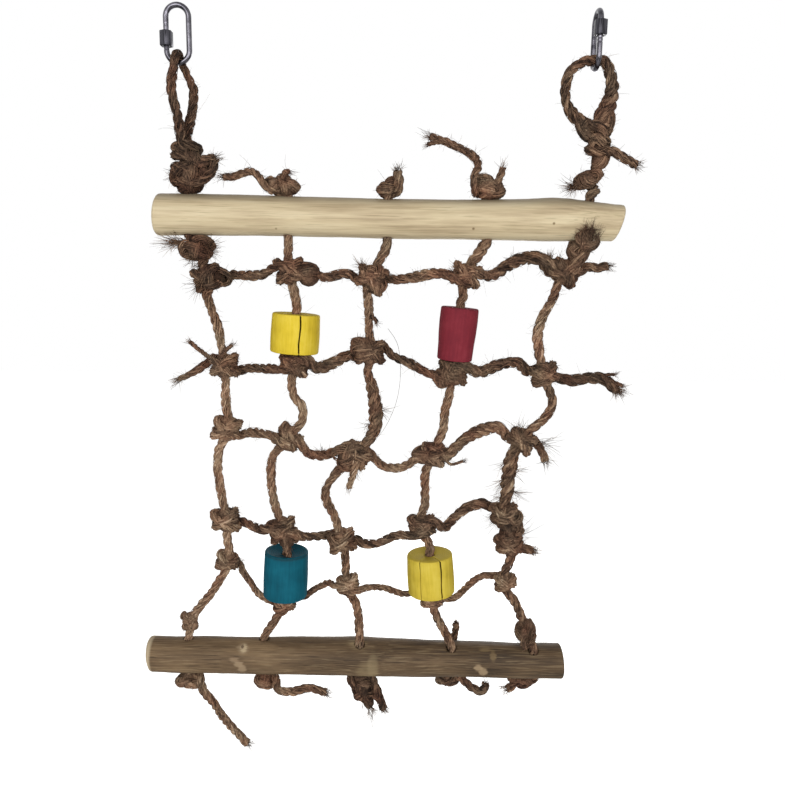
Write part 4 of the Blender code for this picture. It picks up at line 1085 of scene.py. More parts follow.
# frayed ends: place, direction, hairs, length, spread
uprightTufts = {
    1: [
        (at(-0.1095, -0.0320, -0.004), (0.8, -0.2, 0.6), 60, 0.007, 0.35),
        (at(-0.1320, -0.0230, -0.007), (-0.7, -0.5, 0.1), 60, 0.006, 0.6),
        (at(-0.1140, 0.0200, -0.007), (0.9, -0.4, -0.15), 170, 0.008, 0.5),
        (at(-0.1310, 0.0170, -0.005), (-1.0, -0.1, 0.05), 130, 0.012, 0.22),
        (at(-0.1235, 0.0310, -0.004), (-0.6, -0.4, -0.6), 60, 0.008, 0.6),
    ],
    2: [(at(-0.0640, -0.0220, -0.006), (-0.5, -0.6, 0.2), 50, 0.004, 0.9)],
    3: [
        (at(0.0054, -0.0275, -0.0078), (0.0, -0.1, 1.0), 60, 0.005, 0.45),
        (at(0.0020, 0.3380, -0.004), (0.55, -0.1, -0.8), 50, 0.005, 0.35),
        (at(-0.0105, 0.3360, -0.003), (0.20, -0.1, -1.0), 30, 0.014, 0.12),
        (at(-0.0060, 0.3370, -0.003), (0.55, -0.1, -0.8), 30, 0.012, 0.20),
        (at(-0.0030, 0.1235, -0.003), (0.9, -0.2, -0.3), 18, 0.009, 0.40),
        (at(-0.0115, 0.1330, -0.003), (-0.9, -0.2, -0.3), 16, 0.009, 0.40),
    ],
    4: [(at(0.0730, 0.3165, -0.006), (0.2, -0.1, 1.0), 40, 0.005, 0.4)],
    5: [
        (at(0.1540, -0.0345, -0.003), (0.9, -0.1, -0.4), 60, 0.005, 0.4),
        (at(0.1155, -0.0195, -0.006), (-0.9, -0.2, -0.3), 150, 0.008, 0.45),
        (at(0.1250, 0.0092, -0.0125), (0.0, -0.20, 1.0), 330, 0.0072, 0.60, 0.00010, 0.0066),
        (at(0.1003, 0.2850, -0.010), (-0.1, -0.15, 1.0), 200, 0.011, 0.35),
        (at(0.0885, 0.3215, -0.004), (-0.9, -0.1, -0.2), 60, 0.007, 0.5),
        (at(0.0815, 0.1580, -0.003), (-0.7, -0.2, -0.7), 26, 0.012, 0.30),
        (at(0.0800, 0.1700, -0.003), (-0.6, -0.2, -0.8), 26, 0.014, 0.30),
        (at(0.0795, 0.1810, -0.003), (-0.9, -0.2, -0.3), 26, 0.009, 0.40),
        (at(0.0865, 0.1650, -0.003), (0.9, -0.2, 0.2), 18, 0.009, 0.40),
        (at(0.0865, 0.1780, -0.003), (0.9, -0.2, -0.3), 22, 0.011, 0.40),
        (at(0.0790, 0.1960, -0.006), (-0.8, -0.4, -0.2), 60, 0.014, 0.50),
        (at(0.0880, 0.1960, -0.006), (0.8, -0.4, 0.2), 60, 0.014, 0.50),
        (at(0.0830, 0.2150, -0.006), (-0.8, -0.4, -0.4), 50, 0.014, 0.50),
        (at(0.0900, 0.2120, -0.006), (0.8, -0.4, 0.3), 60, 0.016, 0.45),
    ],
}


def buildUpright(column):
    rng = random.Random(100 + column)
    route = smoothRoute(wholeUpright(column), ropeLook["step"])
    swells = ropeSwells[column]

    def shade(p):
        return toneAt(ropeShades[column], perchZ - p.z)

    lines, frames = layRope(route, sizes["rope"], rng, shade, swells)
    knots = list(columns[column][1])
    if column == 5:
        knots.pop(4)  # row 4 has a second knot on this one
    cuts = [0, *[nearestIndex(route, knots[n][0]) for n in (1, 2, 4)], len(route) - 1]
    nodes = [
        [upperNodes[column], f"upright_{column}_upper"], [f"upright_{column}_middle"],
        [f"upright_{column}_lower"], [f"foot_{column}"],
    ]
    names = ["hung", "middle", "lower", "foot"]
    strands = [upperStrands, {}, {}, lowerStrands]
    for n in range(4):
        low, high = cuts[n], cuts[n + 1]
        part = [(p[low : high + 1], r[low : high + 1], tone[low : high + 1]) for p, r, tone in lines]
        part += fuzz(route, frames, sizes["rope"], rng, low, high)
        part += lying(route, frames, sizes["rope"], rng, low, high, shade)
        highest = max(p.z for p in route[low : high + 1])
        lowest = min(p.z for p in route[low : high + 1])
        for place, half, count, tone, roll in lumps[column]:
            if lowest <= place.z <= highest:
                part += matted(place, half, count, tone, rng, roll)
        for points, thick, tone in strands[n].get(column, []):
            part += strand(points, thick, tone, rng)
        for place, *rest in uprightTufts[column]:
            if lowest - fibreLook["tuftReach"] <= place.z <= highest + fibreLook["tuftReach"]:
                part += tuft(rng, part, place, *rest)
        obj = curveMesh(f"rope_{column}_{names[n]}", part, coir)
        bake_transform(obj)
        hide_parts(*nodes[n])


for column in columns:
    buildUpright(column)
    print("upright", column, "laid")


# Cross ropes: one laid rope a row, with the knots that it makes on the uprights

crossTufts = {
    0: [
        (at(0.1425, 0.0275, 0.004), (0.9, -0.1, -0.3), 50, 0.005, 0.5),
        (at(-0.1165, 0.0420, -0.008), (-0.7, -0.4, -0.8), 80, 0.010, 0.4),
        (at(-0.0150, 0.0310, -0.008), (-0.4, -0.4, 0.8), 80, 0.007, 0.5),
        (at(0.0430, 0.0320, -0.008), (-0.5, -0.4, 0.7), 50, 0.006, 0.5),
        (at(0.1050, 0.0205, -0.005), (0.1, -0.4, 0.9), 60, 0.005, 0.6),
        (at(0.0800, 0.0240, -0.003), (-0.2, -0.3, 0.9), 24, 0.005, 0.6),
    ],
    1: [
        (at(-0.1370, 0.1060, 0.002), (-0.9, -0.1, -0.4), 60, 0.006, 0.5),
        (at(-0.0100, 0.0800, -0.008), (0.3, -0.4, 0.8), 40, 0.006, 0.6),
        (at(-0.0175, 0.0790, -0.006), (-0.3, -0.3, 0.9), 40, 0.005, 0.4),
    ],
    2: [
        (at(0.1090, 0.1580, 0.004), (0.5, -0.1, -0.9), 50, 0.006, 0.5),
        (at(0.0900, 0.1360, -0.006), (0.0, -0.2, 1.0), 30, 0.012, 0.30),
        (at(0.0995, 0.1440, -0.003), (0.9, -0.1, -0.2), 40, 0.017, 0.25),
        (at(-0.0420, 0.1542, -0.001), (0.0, -0.3, 1.0), 40, 0.006, 0.5),
        (at(-0.0190, 0.1612, -0.006), (-0.2, -0.3, -1.0), 40, 0.008, 0.3),
    ],
    3: [
        (at(0.1030, 0.2220, 0.004), (0.9, -0.1, -0.3), 80, 0.007, 0.5),
        (at(-0.0640, 0.2080, -0.008), (0.4, -0.4, 0.8), 60, 0.007, 0.6),
        (at(0.0760, 0.1930, -0.005), (-0.9, -0.2, 0.3), 40, 0.006, 0.6),
        (at(0.0795, 0.2130, -0.005), (-0.9, -0.2, -0.2), 40, 0.005, 0.6),
    ],
    4: [(at(-0.1000, 0.2330, 0.002), (0.8, -0.2, 0.1), 50, 0.005, 0.6)],
}
# loose ends of the rows: points (x, drop, y), diameter, tone
rowOneEnd = [
    (0.0900, 0.0238, 0.000), (0.0985, 0.0242, -0.002), (0.1065, 0.0278, -0.003), (0.1140, 0.0318, -0.006),
]
crossStrands = {
    0: [
        ([(-0.0105, 0.0620, -0.0040), (-0.0070, 0.0640, -0.0050), (-0.0065, 0.0655, -0.0050)], 0.0026, 0.2),
        (rowOneEnd, 0.0080, 0.28),
        ([(0.1235, 0.0185, -0.006), (0.1205, 0.0250, -0.008), (0.1150, 0.0325, -0.009)], 0.0076, 0.40),
    ],
    1: [
        ([(-0.1120, 0.0915, -0.006), (-0.1200, 0.0860, -0.005), (-0.1272, 0.0802, -0.004)], 0.0030, 0.36),
        ([(-0.1070, 0.0900, -0.008), (-0.1040, 0.0860, -0.008), (-0.0990, 0.0815, -0.007)], 0.0028, 0.36),
    ],
    2: [
        ([(-0.0185, 0.1560, -0.0100), (-0.0205, 0.1650, -0.0095), (-0.0235, 0.1755, -0.0080)], 0.0046, 0.60),
        ([(0.0395, 0.1545, -0.008), (0.0440, 0.1585, -0.007), (0.0520, 0.1565, -0.006)], 0.0022, 0.45),
    ],
    3: [([(-0.0660, 0.2080, -0.0095), (-0.0640, 0.2170, -0.0115), (-0.0632, 0.2230, -0.0100)], 0.0040, 0.40)],
}
# one long fibre that stands off row 3
strayFibres = {
    2: [
        (-0.0150, 0.1500, -0.006), (-0.0030, 0.1390, -0.007), (0.0070, 0.1180, -0.006),
        (0.0096, 0.0960, -0.004), (0.0070, 0.0790, -0.002), (0.0010, 0.0700, 0.000),
    ],
}
# where a row's knot bulges further: place, half sizes, yarns, tone, lean in degrees
crossLumps = {
    0: [
        (at(-0.1120, 0.0385, -0.002), (0.0125, 0.0098, 0.0085), 90, 0.26, 12),
        (at(-0.0500, 0.0360, -0.002), (0.0090, 0.0085, 0.0080), 60, 0.34, 20),
        (at(-0.0085, 0.0385, -0.002), (0.0105, 0.0095, 0.0095), 80, 0.38, -20),
    ],
    1: [
        (at(-0.0135, 0.0840, -0.002), (0.0108, 0.0092, 0.0080), 80, 0.44, 25),
        (at(0.0440, 0.0985, -0.002), (0.0120, 0.0092, 0.0085), 90, 0.46, -25),
        (at(0.0372, 0.1012, -0.003), (0.0078, 0.0080, 0.0066), 60, 0.50, -20),
    ],
    2: [
        (at(-0.0235, 0.1550, -0.002), (0.0115, 0.0092, 0.0105), 90, 0.46, 10),
        (at(0.0300, 0.1525, -0.002), (0.0130, 0.0090, 0.0080), 90, 0.46, -15),
    ],
    3: [
        (at(-0.0650, 0.2110, -0.006), (0.0085, 0.0070, 0.0080), 44, 0.38, 0),
        (at(0.0840, 0.1965, -0.003), (0.0100, 0.0085, 0.0105), 48, 0.36, 10),
        (at(0.0850, 0.2065, -0.002), (0.0078, 0.0078, 0.0075), 44, 0.32, 0),
        (at(0.0872, 0.2145, -0.003), (0.0088, 0.0082, 0.0090), 44, 0.32, 0),
    ],
}
# turns of a knot: tilt, half width, half depth
knotLook = {
    "turns": [(0.70, 0.0070, 0.0076), (-0.65, 0.0072, 0.0074)],
    "felt": (0.0090, 0.0084, 0.0086),
    "yarns": 34,
}
thinKnotLook = {
    "turns": [(0.60, 0.0060, 0.0064), (-0.55, 0.0058, 0.0062)],
    "felt": (0.0074, 0.0070, 0.0068),
    "yarns": 26,
}
knotVaries = {"tone": (0.02, 0.18), "tilt": (0.8, 1.2), "shift": (-0.0015, 0.0015), "width": (0.96, 1.08)}
loopLook = {**ropeLook, "yarns": 5, "yarnRadius": 0.46, "drawnThin": 0.95, "fuzz": 0.8}
crossBodies = ["top", "band_upper", "band_middle", "band_lower", "band_lower"]


def buildCross(row):
    rng = random.Random(200 + row)
    points, knots, diameter = crossRoute(row)
    route = smoothRoute(points, ropeLook["rowStep"])

    def shade(p):
        return toneAt(crossShades[row], p.x)

    lines, frames = layRope(route, diameter, rng, shade, crossSwells[row])
    lines += fuzz(route, frames, diameter, rng, 0, len(route) - 1)
    lines += lying(route, frames, diameter, rng, 0, len(route) - 1, shade)
    look = thinKnotLook if row == 4 else knotLook
    for centre, axis in knots:
        tone = shade(centre) + rng.uniform(*knotVaries["tone"])
        for tilt, side, front in look["turns"]:
            lean = tilt * rng.uniform(*knotVaries["tilt"])
            middle = centre + axis * rng.uniform(*knotVaries["shift"])
            turn = knotTurn(middle, axis, lean, side * rng.uniform(*knotVaries["width"]), front)
            loop = smoothRoute(turn, ropeLook["loopStep"])
            thick = diameter * loopLook["drawnThin"]
            more, loopFrames = layRope(loop, thick, rng, lambda p: tone, look=loopLook)
            lines += more + fuzz(loop, loopFrames, diameter, rng, 0, len(loop) - 1, loopLook["fuzz"])
        lines += matted(centre, look["felt"], look["yarns"], tone, rng)
    for place, half, count, tone, roll in crossLumps.get(row, []):
        lines += matted(place, half, count, tone, rng, roll)
    for points, thick, tone in crossStrands.get(row, []):
        lines += strand(points, thick, tone, rng)
    for place, *rest in crossTufts[row]:
        lines += tuft(rng, lines, place, *rest)
    if row in strayFibres:
        stray = fibreLook["stray"]
        fibre = smoothRoute([at(*p) for p in strayFibres[row]], stray["step"])
        lines.append((fibre, [stray["radius"]] * len(fibre), [stray["tone"]] * len(fibre)))
    obj = curveMesh(f"row_{row + 1}", lines, coirTwine if row == 4 else coir)
    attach(obj, crossBodies[row])
    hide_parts(f"cross_rope_{row + 1}")


for row in range(5):
    buildCross(row)
    print("row", row + 1, "knotted")


# Free tails: laid ropes, with their stray fibres as pieces of their own

tailLook = {
    "tail_top_2": {"body": "top", "tone": 0.46, "taper": 0.80, "fray": 40},
    "tail_top_4": {"body": "top", "tone": 0.42, "taper": 0.80, "fray": 30},
    "tail_row_2": {"body": "band_upper", "tone": 0.32, "taper": 1.25, "fray": 170},
    "tail_foot_1": {"body": "base", "tone": 0.52, "taper": 0.95, "fray": 60},
    "tail_foot_2": {"body": "base", "tone": 0.50, "taper": 0.95, "fray": 60},
}
# split ends: points (x, drop, y) and diameter
tailProngs = {
    "tail_top_4": [
        ([(0.0350, -0.0468, -0.001), (0.0300, -0.0462, -0.0025), (0.0240, -0.0446, -0.004)], 0.0032),
    ],
    "tail_row_2": [
        ([(0.1440, 0.1020, -0.001), (0.1490, 0.1025, -0.003), (0.1545, 0.1045, -0.004)], 0.0026),
        ([(0.1400, 0.1005, 0.000), (0.1445, 0.0985, 0.001), (0.1500, 0.0980, 0.001)], 0.0024),
    ],
}


def buildTail(name):
    rng = random.Random(name)
    look = tailLook[name]
    before, start = tailStarts[name]
    ahead = (start - before).normalized()
    points = [start + ahead * sizes["touch"], start + ahead * sizes["rope"]]
    route = smoothRoute(points + [at(*p) for p in tailRoutes[name]], ropeLook["step"])
    last = len(route) - 1
    drawn = sizes["rope"] * look["taper"]

    def shade(p):
        return look["tone"]

    lines, frames = layRope(route, drawn, rng, shade)
    obj = curveMesh(name + "_rope", lines, coir)
    hairs = fuzz(route, frames, sizes["rope"], rng, 0, last, 1.2)
    hairs += lying(route, frames, drawn, rng, 0, last, shade)
    hairs += tuft(rng, lines, route[-1], route[-1] - route[-4], look["fray"], **fibreLook["tailEnd"])
    for prong, diameter in tailProngs.get(name, []):
        hairs += strand(prong, diameter, look["tone"], rng)
    strays = curveMesh(name + "_fibres", hairs, coir)
    for piece in (obj, strays):
        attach(piece, look["body"])
    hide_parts(name)
    length = routeLength(route)
    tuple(route[0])
    print(name, "length", round(length * 1000, 1), "mm")


for name in tailRoutes:
    buildTail(name)


# Perches: two branches, one peeled and pale, one brown, drilled for the ropes

perchLook = {
    "top_perch": {
        "shape": topShape, "length": sizes["topLength"], "diameter": sizes["topPerch"],
        "cuts": (4, -14), "ridge": 0.00022, "edge": 0.0046,
        "middle": at(0, 0), "body": "top", "slot": "peeled_branch",
        "holes": [(at(x, 0), up) for x in holeXs.values()],
    },
    "bottom_perch": {
        "shape": bottomShape, "length": sizes["bottomLength"], "diameter": sizes["bottomPerch"],
        "cuts": (-6, 3), "ridge": 0.00032, "edge": 0.0016,
        "middle": at(sizes["bottomShift"], bottomDrop), "body": "base", "slot": "brown_branch",
        "holes": [
            (at(x, bottomDrop), Vector((0, -math.sin(math.radians(r)), math.cos(math.radians(r)))))
            for x, r in bottomHoles.values()
        ],
    },
}
# rubbed marks and knot eyes of the brown branch: centre, half sizes, colour, strength
brownMarks = [
    ((-0.0955, -0.0125, -0.4130), (0.0046, 0.010, 0.0040), "#9a8468", 0.70),
    ((-0.0952, -0.0125, -0.4134), (0.0026, 0.010, 0.0026), "#c3ae8c", 0.85),
    ((-0.0962, -0.0125, -0.4128), (0.0012, 0.010, 0.0012), "#5c4838", 0.85),
    ((-0.1010, -0.0130, -0.4200), (0.0040, 0.010, 0.0016), "#9c8468", 0.60),
    ((-0.0980, -0.0130, -0.4230), (0.0036, 0.010, 0.0022), "#a48d70", 0.70),
    ((-0.0958, -0.0130, -0.4270), (0.0034, 0.010, 0.0034), "#a48d70", 0.70),
    ((-0.0100, -0.0130, -0.4285), (0.0080, 0.012, 0.0080), "#93805f", 0.42),
    ((-0.0060, -0.0130, -0.4250), (0.0040, 0.012, 0.0120), "#9a8866", 0.34),
    ((-0.0170, -0.0110, -0.4095), (0.0090, 0.010, 0.0030), "#a8936f", 0.75),
    ((0.0665, -0.0120, -0.4235), (0.0030, 0.010, 0.0026), "#a78f70", 0.75),
    ((0.0700, -0.0120, -0.4275), (0.0030, 0.010, 0.0036), "#a78f70", 0.75),
    ((0.0715, -0.0120, -0.4130), (0.0058, 0.010, 0.0014), "#86704f", 0.65),
    ((0.0768, -0.0120, -0.4160), (0.0024, 0.010, 0.0034), "#86704f", 0.60),
    ((0.1080, -0.0020, -0.4360), (0.0160, 0.010, 0.0014), "#a89a7c", 0.50),
]


def peeledWood():
    # peeled willow: pale and silky with long fine grain, painted greyer and darker along its top as shade
    mat, tree, shader = newMaterial("peeledWillow", {"Roughness": 0.55, "Specular IOR Level": 0.35})
    place = addNode(tree, "TexCoord").outputs["Object"]
    # grain streaks 1.6 mm wide and 40 mm long, clouds 6.5 mm by 70 mm
    drawn = addNode(tree, "Mapping", inputs={"Vector": place, "Scale": (1 / 0.040, 1 / 0.0016, 1 / 0.0016)})
    grain = addNode(tree, "TexNoise", inputs={"Vector": drawn, "Scale": 1.0, "Detail": 5.0, "Roughness": 0.6})
    drawn = addNode(tree, "Mapping", inputs={"Vector": place, "Scale": (1 / 0.070, 1 / 0.0065, 1 / 0.0065)})
    cloud = addNode(tree, "TexNoise", inputs={"Vector": drawn, "Scale": 1.0, "Detail": 3.0})
    tone = 0.0
    for source, share in ((grain, 0.45), (cloud, 0.75)):
        tone = addNode(tree, "Math", {"operation": "MULTIPLY_ADD"}, {0: source, 1: share, 2: tone})
    shades = [(0.30, "#988769"), (0.48, "#bda988"), (0.62, "#d3c19d"), (0.85, "#e3d4b2")]
    colour = addNode(tree, "ValToRGB", inputs={"Fac": tone}, stops=shades)
    # hairline checks, 0.8 mm wide and 30 mm long
    drawn = addNode(tree, "Mapping", inputs={"Vector": place, "Scale": (1 / 0.030, 1 / 0.0008, 1 / 0.0008)})
    line = addNode(tree, "TexNoise", inputs={"Vector": drawn, "Scale": 1.0, "Detail": 2.0})
    ranges = {"From Min": 0.44, "From Max": 0.28, "To Max": 0.55}
    check = addNode(tree, "MapRange", inputs={"Value": line, **ranges})
    lined = addNode(tree, "Mix", colourMix, {0: check, 6: colour, 7: hexColour("#94825f")})
    # painted shade: greyer and darker along the top of the branch
    height = addNode(tree, "SeparateXYZ", inputs={0: place}).outputs["Z"]
    ranges = {"From Min": perchZ + 0.0060, "From Max": perchZ + 0.0122, "To Max": 0.80}
    paintedTopShade = addNode(tree, "MapRange", smoothStep, {"Value": height, **ranges})
    topShadedColour = addNode(tree, "Mix", colourMix, {0: paintedTopShade, 6: lined.outputs[2], 7: hexColour("#857862")})
    # small dark flecks, 1 mm across and about 16 mm apart
    fleck = addNode(tree, "TexVoronoi", inputs={"Vector": place, "Scale": 1 / 0.016})
    spot = addNode(tree, "MapRange", inputs={"Value": fleck, "From Min": 0.03, "From Max": 0.07})
    mixed = addNode(tree, "Mix", colourMix, {0: spot, 6: hexColour("#85704f"), 7: topShadedColour.outputs[2]})
    tree.links.new(mixed.outputs[2], shader.inputs["Base Color"])
    bump = addNode(tree, "Bump", inputs={"Height": grain, "Strength": 0.25, "Distance": 0.0004})
    tree.links.new(bump.outputs["Normal"], shader.inputs["Normal"])
    return mat


def brownBranch():
    # brown branch with its inner bark left on: smooth, streaked, rubbed pale at the knots and cut ends
    mat, tree, shader = newMaterial("barkedWillow", {"Roughness": 0.68, "Specular IOR Level": 0.28})
    place = addNode(tree, "TexCoord").outputs["Object"]
    # grain streaks 0.9 mm wide and 30 mm long, clouds 10 mm by 55 mm
    drawn = addNode(tree, "Mapping", inputs={"Vector": place, "Scale": (1 / 0.030, 1 / 0.0009, 1 / 0.0009)})
    grain = addNode(
        tree, "TexNoise", inputs={"Vector": drawn, "Scale": 1.0, "Detail": 6.0, "Roughness": 0.65}
    )
    drawn = addNode(tree, "Mapping", inputs={"Vector": place, "Scale": (1 / 0.055, 1 / 0.010, 1 / 0.010)})
    cloud = addNode(tree, "TexNoise", inputs={"Vector": drawn, "Scale": 1.0, "Detail": 3.0})
    tone = 0.0
    for source, share in ((grain, 0.60), (cloud, 0.60)):
        tone = addNode(tree, "Math", {"operation": "MULTIPLY_ADD"}, {0: source, 1: share, 2: tone})
    # the branch darkens towards its right end
    sideways = addNode(tree, "SeparateXYZ", inputs={0: place}).outputs["X"]
    ranges = {"From Min": -0.14, "From Max": 0.06, "To Min": 0.05, "To Max": -0.135}
    darker = addNode(tree, "MapRange", inputs={"Value": sideways, **ranges})
    tone = addNode(tree, "Math", {"operation": "ADD"}, {0: tone, 1: darker})
    shades = [(0.30, "#382b1e"), (0.50, "#5d4a35"), (0.66, "#735d44"), (0.86, "#967d5c")]
    last = addNode(tree, "ValToRGB", inputs={"Fac": tone}, stops=shades).outputs["Color"]
    # scratches and dark fibre lines, 0.8 mm wide and 18 mm long
    drawn = addNode(tree, "Mapping", inputs={"Vector": place, "Scale": (1 / 0.018, 1 / 0.0008, 1 / 0.0008)})
    line = addNode(tree, "TexNoise", inputs={"Vector": drawn, "Scale": 1.0, "Detail": 2.0})
    for none, full, tint, strength in ((0.56, 0.70, "#a28d6c", 0.40), (0.44, 0.30, "#2f241a", 0.60)):
        ranges = {"From Min": none, "From Max": full, "To Max": strength}
        streak = addNode(tree, "MapRange", inputs={"Value": line, **ranges})
        last = addNode(tree, "Mix", colourMix, {0: streak, 6: last, 7: hexColour(tint)}).outputs[2]
    for centre, half, tint, strength in brownMarks:
        inputs = {"Vector": place, "Location": centre, "Scale": half}
        local = addNode(tree, "Mapping", {"vector_type": "TEXTURE"}, inputs)
        far = addNode(tree, "VectorMath", {"operation": "LENGTH"}, {0: local}).outputs["Value"]
        ragged = addNode(tree, "Math", {"operation": "MULTIPLY_ADD"}, {0: grain, 1: 2.0, 2: far})
        ranges = {"From Min": 2.15, "From Max": 1.60, "To Max": strength}
        mask = addNode(tree, "MapRange", smoothStep, {"Value": ragged, **ranges})
        last = addNode(tree, "Mix", colourMix, {0: mask, 6: last, 7: hexColour(tint)}).outputs[2]
    # the left end is freshly sawn
    ranges = {"From Min": -0.1585, "From Max": -0.1608, "To Max": 0.9}
    sawn = addNode(tree, "MapRange", smoothStep, {"Value": sideways, **ranges})
    ends = addNode(tree, "Mix", colourMix, {0: sawn, 6: last, 7: hexColour("#c4b193")})
    tree.links.new(ends.outputs[2], shader.inputs["Base Color"])
    bump = addNode(tree, "Bump", inputs={"Height": grain, "Strength": 0.35, "Distance": 0.0006})
    tree.links.new(bump.outputs["Normal"], shader.inputs["Normal"])
    return mat


def meshFrom(bm, name, mat, angle=40):
    mesh = bpy.data.meshes.new(name)
    bm.to_mesh(mesh)
    bm.free()
    mesh.materials.append(mat)
    mesh.shade_smooth()
    mesh.set_sharp_from_angle(angle=math.radians(angle))
    obj = bpy.data.objects.new(name, mesh)
    scene.collection.objects.link(obj)
    return obj


def cutAway(obj, cutters):
    for cutter in cutters:
        modifier = obj.modifiers.new("cut", "BOOLEAN")
        modifier.operation = "DIFFERENCE"
        modifier.solver = "EXACT"
        modifier.object = cutter
    done = bpy.data.meshes.new_from_object(obj.evaluated_get(bpy.context.evaluated_depsgraph_get()))
    obj.modifiers.clear()
    obj.data = done
    for cutter in cutters:
        bpy.data.objects.remove(cutter, do_unlink=True)


perchMesh = {
    "sides": 72,
    "rings": 150,
    "rimSteps": 4,
    "drillSides": 28,
    "smoothing": 0.02,
    "cutFrom": 0.40,
    # swellings about 24 mm long and ripples of 5 mm: count along the branch, scale round it, share
    "swells": [(12, 1.6, 1.6), (60, 4, 0.5)],
}


def buildPerch(name, look, mat):
    bm = bmesh.new()
    turn = Matrix.Rotation(math.radians(90), 4, "Y")
    sides = perchMesh["sides"]
    bmesh.ops.create_cone(bm, cap_ends=True, segments=sides, radius1=1, radius2=1, depth=1, matrix=turn)
    longEdges = [e for e in bm.edges if abs(e.verts[0].co.x - e.verts[1].co.x) > 0.5]
    bmesh.ops.subdivide_edges(bm, edges=longEdges, cuts=perchMesh["rings"])
    rims = [e for e in bm.edges if abs(e.verts[0].co.x) > 0.499 and abs(e.verts[1].co.x) > 0.499]
    seed = len(name) * 3.7
    for vert in bm.verts:
        share = vert.co.x
        angle = math.atan2(vert.co.z, vert.co.y)
        low = shapeAt(look["shape"], share - perchMesh["smoothing"])
        high = shapeAt(look["shape"], share + perchMesh["smoothing"])
        bowY, bowZ, factor = [(a + b) / 2 for a, b in zip(low, high)]
        rough = 0.0
        for count, scale, part in perchMesh["swells"]:
            spot = (share * count, math.cos(angle) * scale + seed, math.sin(angle) * scale)
            rough += part * noise.noise(spot)
        radius = look["diameter"] / 2 * factor + look["ridge"] * rough
        y = radius * math.cos(angle)
        z = radius * math.sin(angle)
        lean = math.radians(look["cuts"][0] if share < 0 else -look["cuts"][1])
        fade = max(0.0, abs(share) - perchMesh["cutFrom"]) / 0.10
        x = share * look["length"] + math.tan(lean) * z * fade
        vert.co = look["middle"] + Vector((x, y + bowY, z + bowZ))
    bmesh.ops.bevel(
        bm,
        geom=rims,
        offset=look["edge"],
        segments=perchMesh["rimSteps"],
        profile=0.5,
        affect="EDGES",
        material=-1,
        clamp_overlap=True,
    )
    bmesh.ops.recalc_face_normals(bm, faces=bm.faces)
    obj = meshFrom(bm, name + "_branch", mat, 50)
    drills = []
    wide = ropeR + sizes["boreClear"]
    sides = perchMesh["drillSides"]
    deep = 3 * look["diameter"]
    for n, (centre, axis) in enumerate(look["holes"]):
        drill = bmesh.new()
        place = Matrix.Translation(centre) @ up.rotation_difference(axis).to_matrix().to_4x4()
        bmesh.ops.create_cone(
            drill, cap_ends=True, segments=sides, radius1=wide, radius2=wide, depth=deep, matrix=place
        )
        drills.append(meshFrom(drill, f"drill_{n}", mat))
    cutAway(obj, drills)
    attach(obj, look["body"])
    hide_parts(name)


buildPerch("top_perch", perchLook["top_perch"], peeledWood())
buildPerch("bottom_perch", perchLook["bottom_perch"], brownBranch())
print("perches turned")


# Beads: drums sawn from a dowel, dyed, bored and cracked in drying

# cracks: angle in degrees, width, depth
beadLook = {
    "bead_yellow_upper": {
        "slot": "yellow_dyed_wood", "shades": ["#c3a428", "#e2c538", "#efd553"], "endTint": "#b89d30",
        "cracks": [(-72, 0.0017, 0.010)], "dish": 0.0002,
    },
    "bead_red": {
        "slot": "red_dyed_wood", "shades": ["#6c2430", "#7f2a35", "#8d3640"], "endTint": "#5a2128",
        "cracks": [], "dish": 0.0003,
    },
    "bead_teal": {
        "slot": "teal_dyed_wood", "shades": ["#074553", "#0b586a", "#14697c"], "endTint": "#1b3338",
        "cracks": [], "dish": 0.0022,
    },
    "bead_yellow_lower": {
        "slot": "lime_yellow_dyed_wood", "shades": ["#b39a32", "#d4bb43", "#e0ca58"], "endTint": "#cbb248",
        "cracks": [(-65, 0.0019, 0.011), (-119, 0.0008, 0.006)], "dish": 0.0005,
    },
}


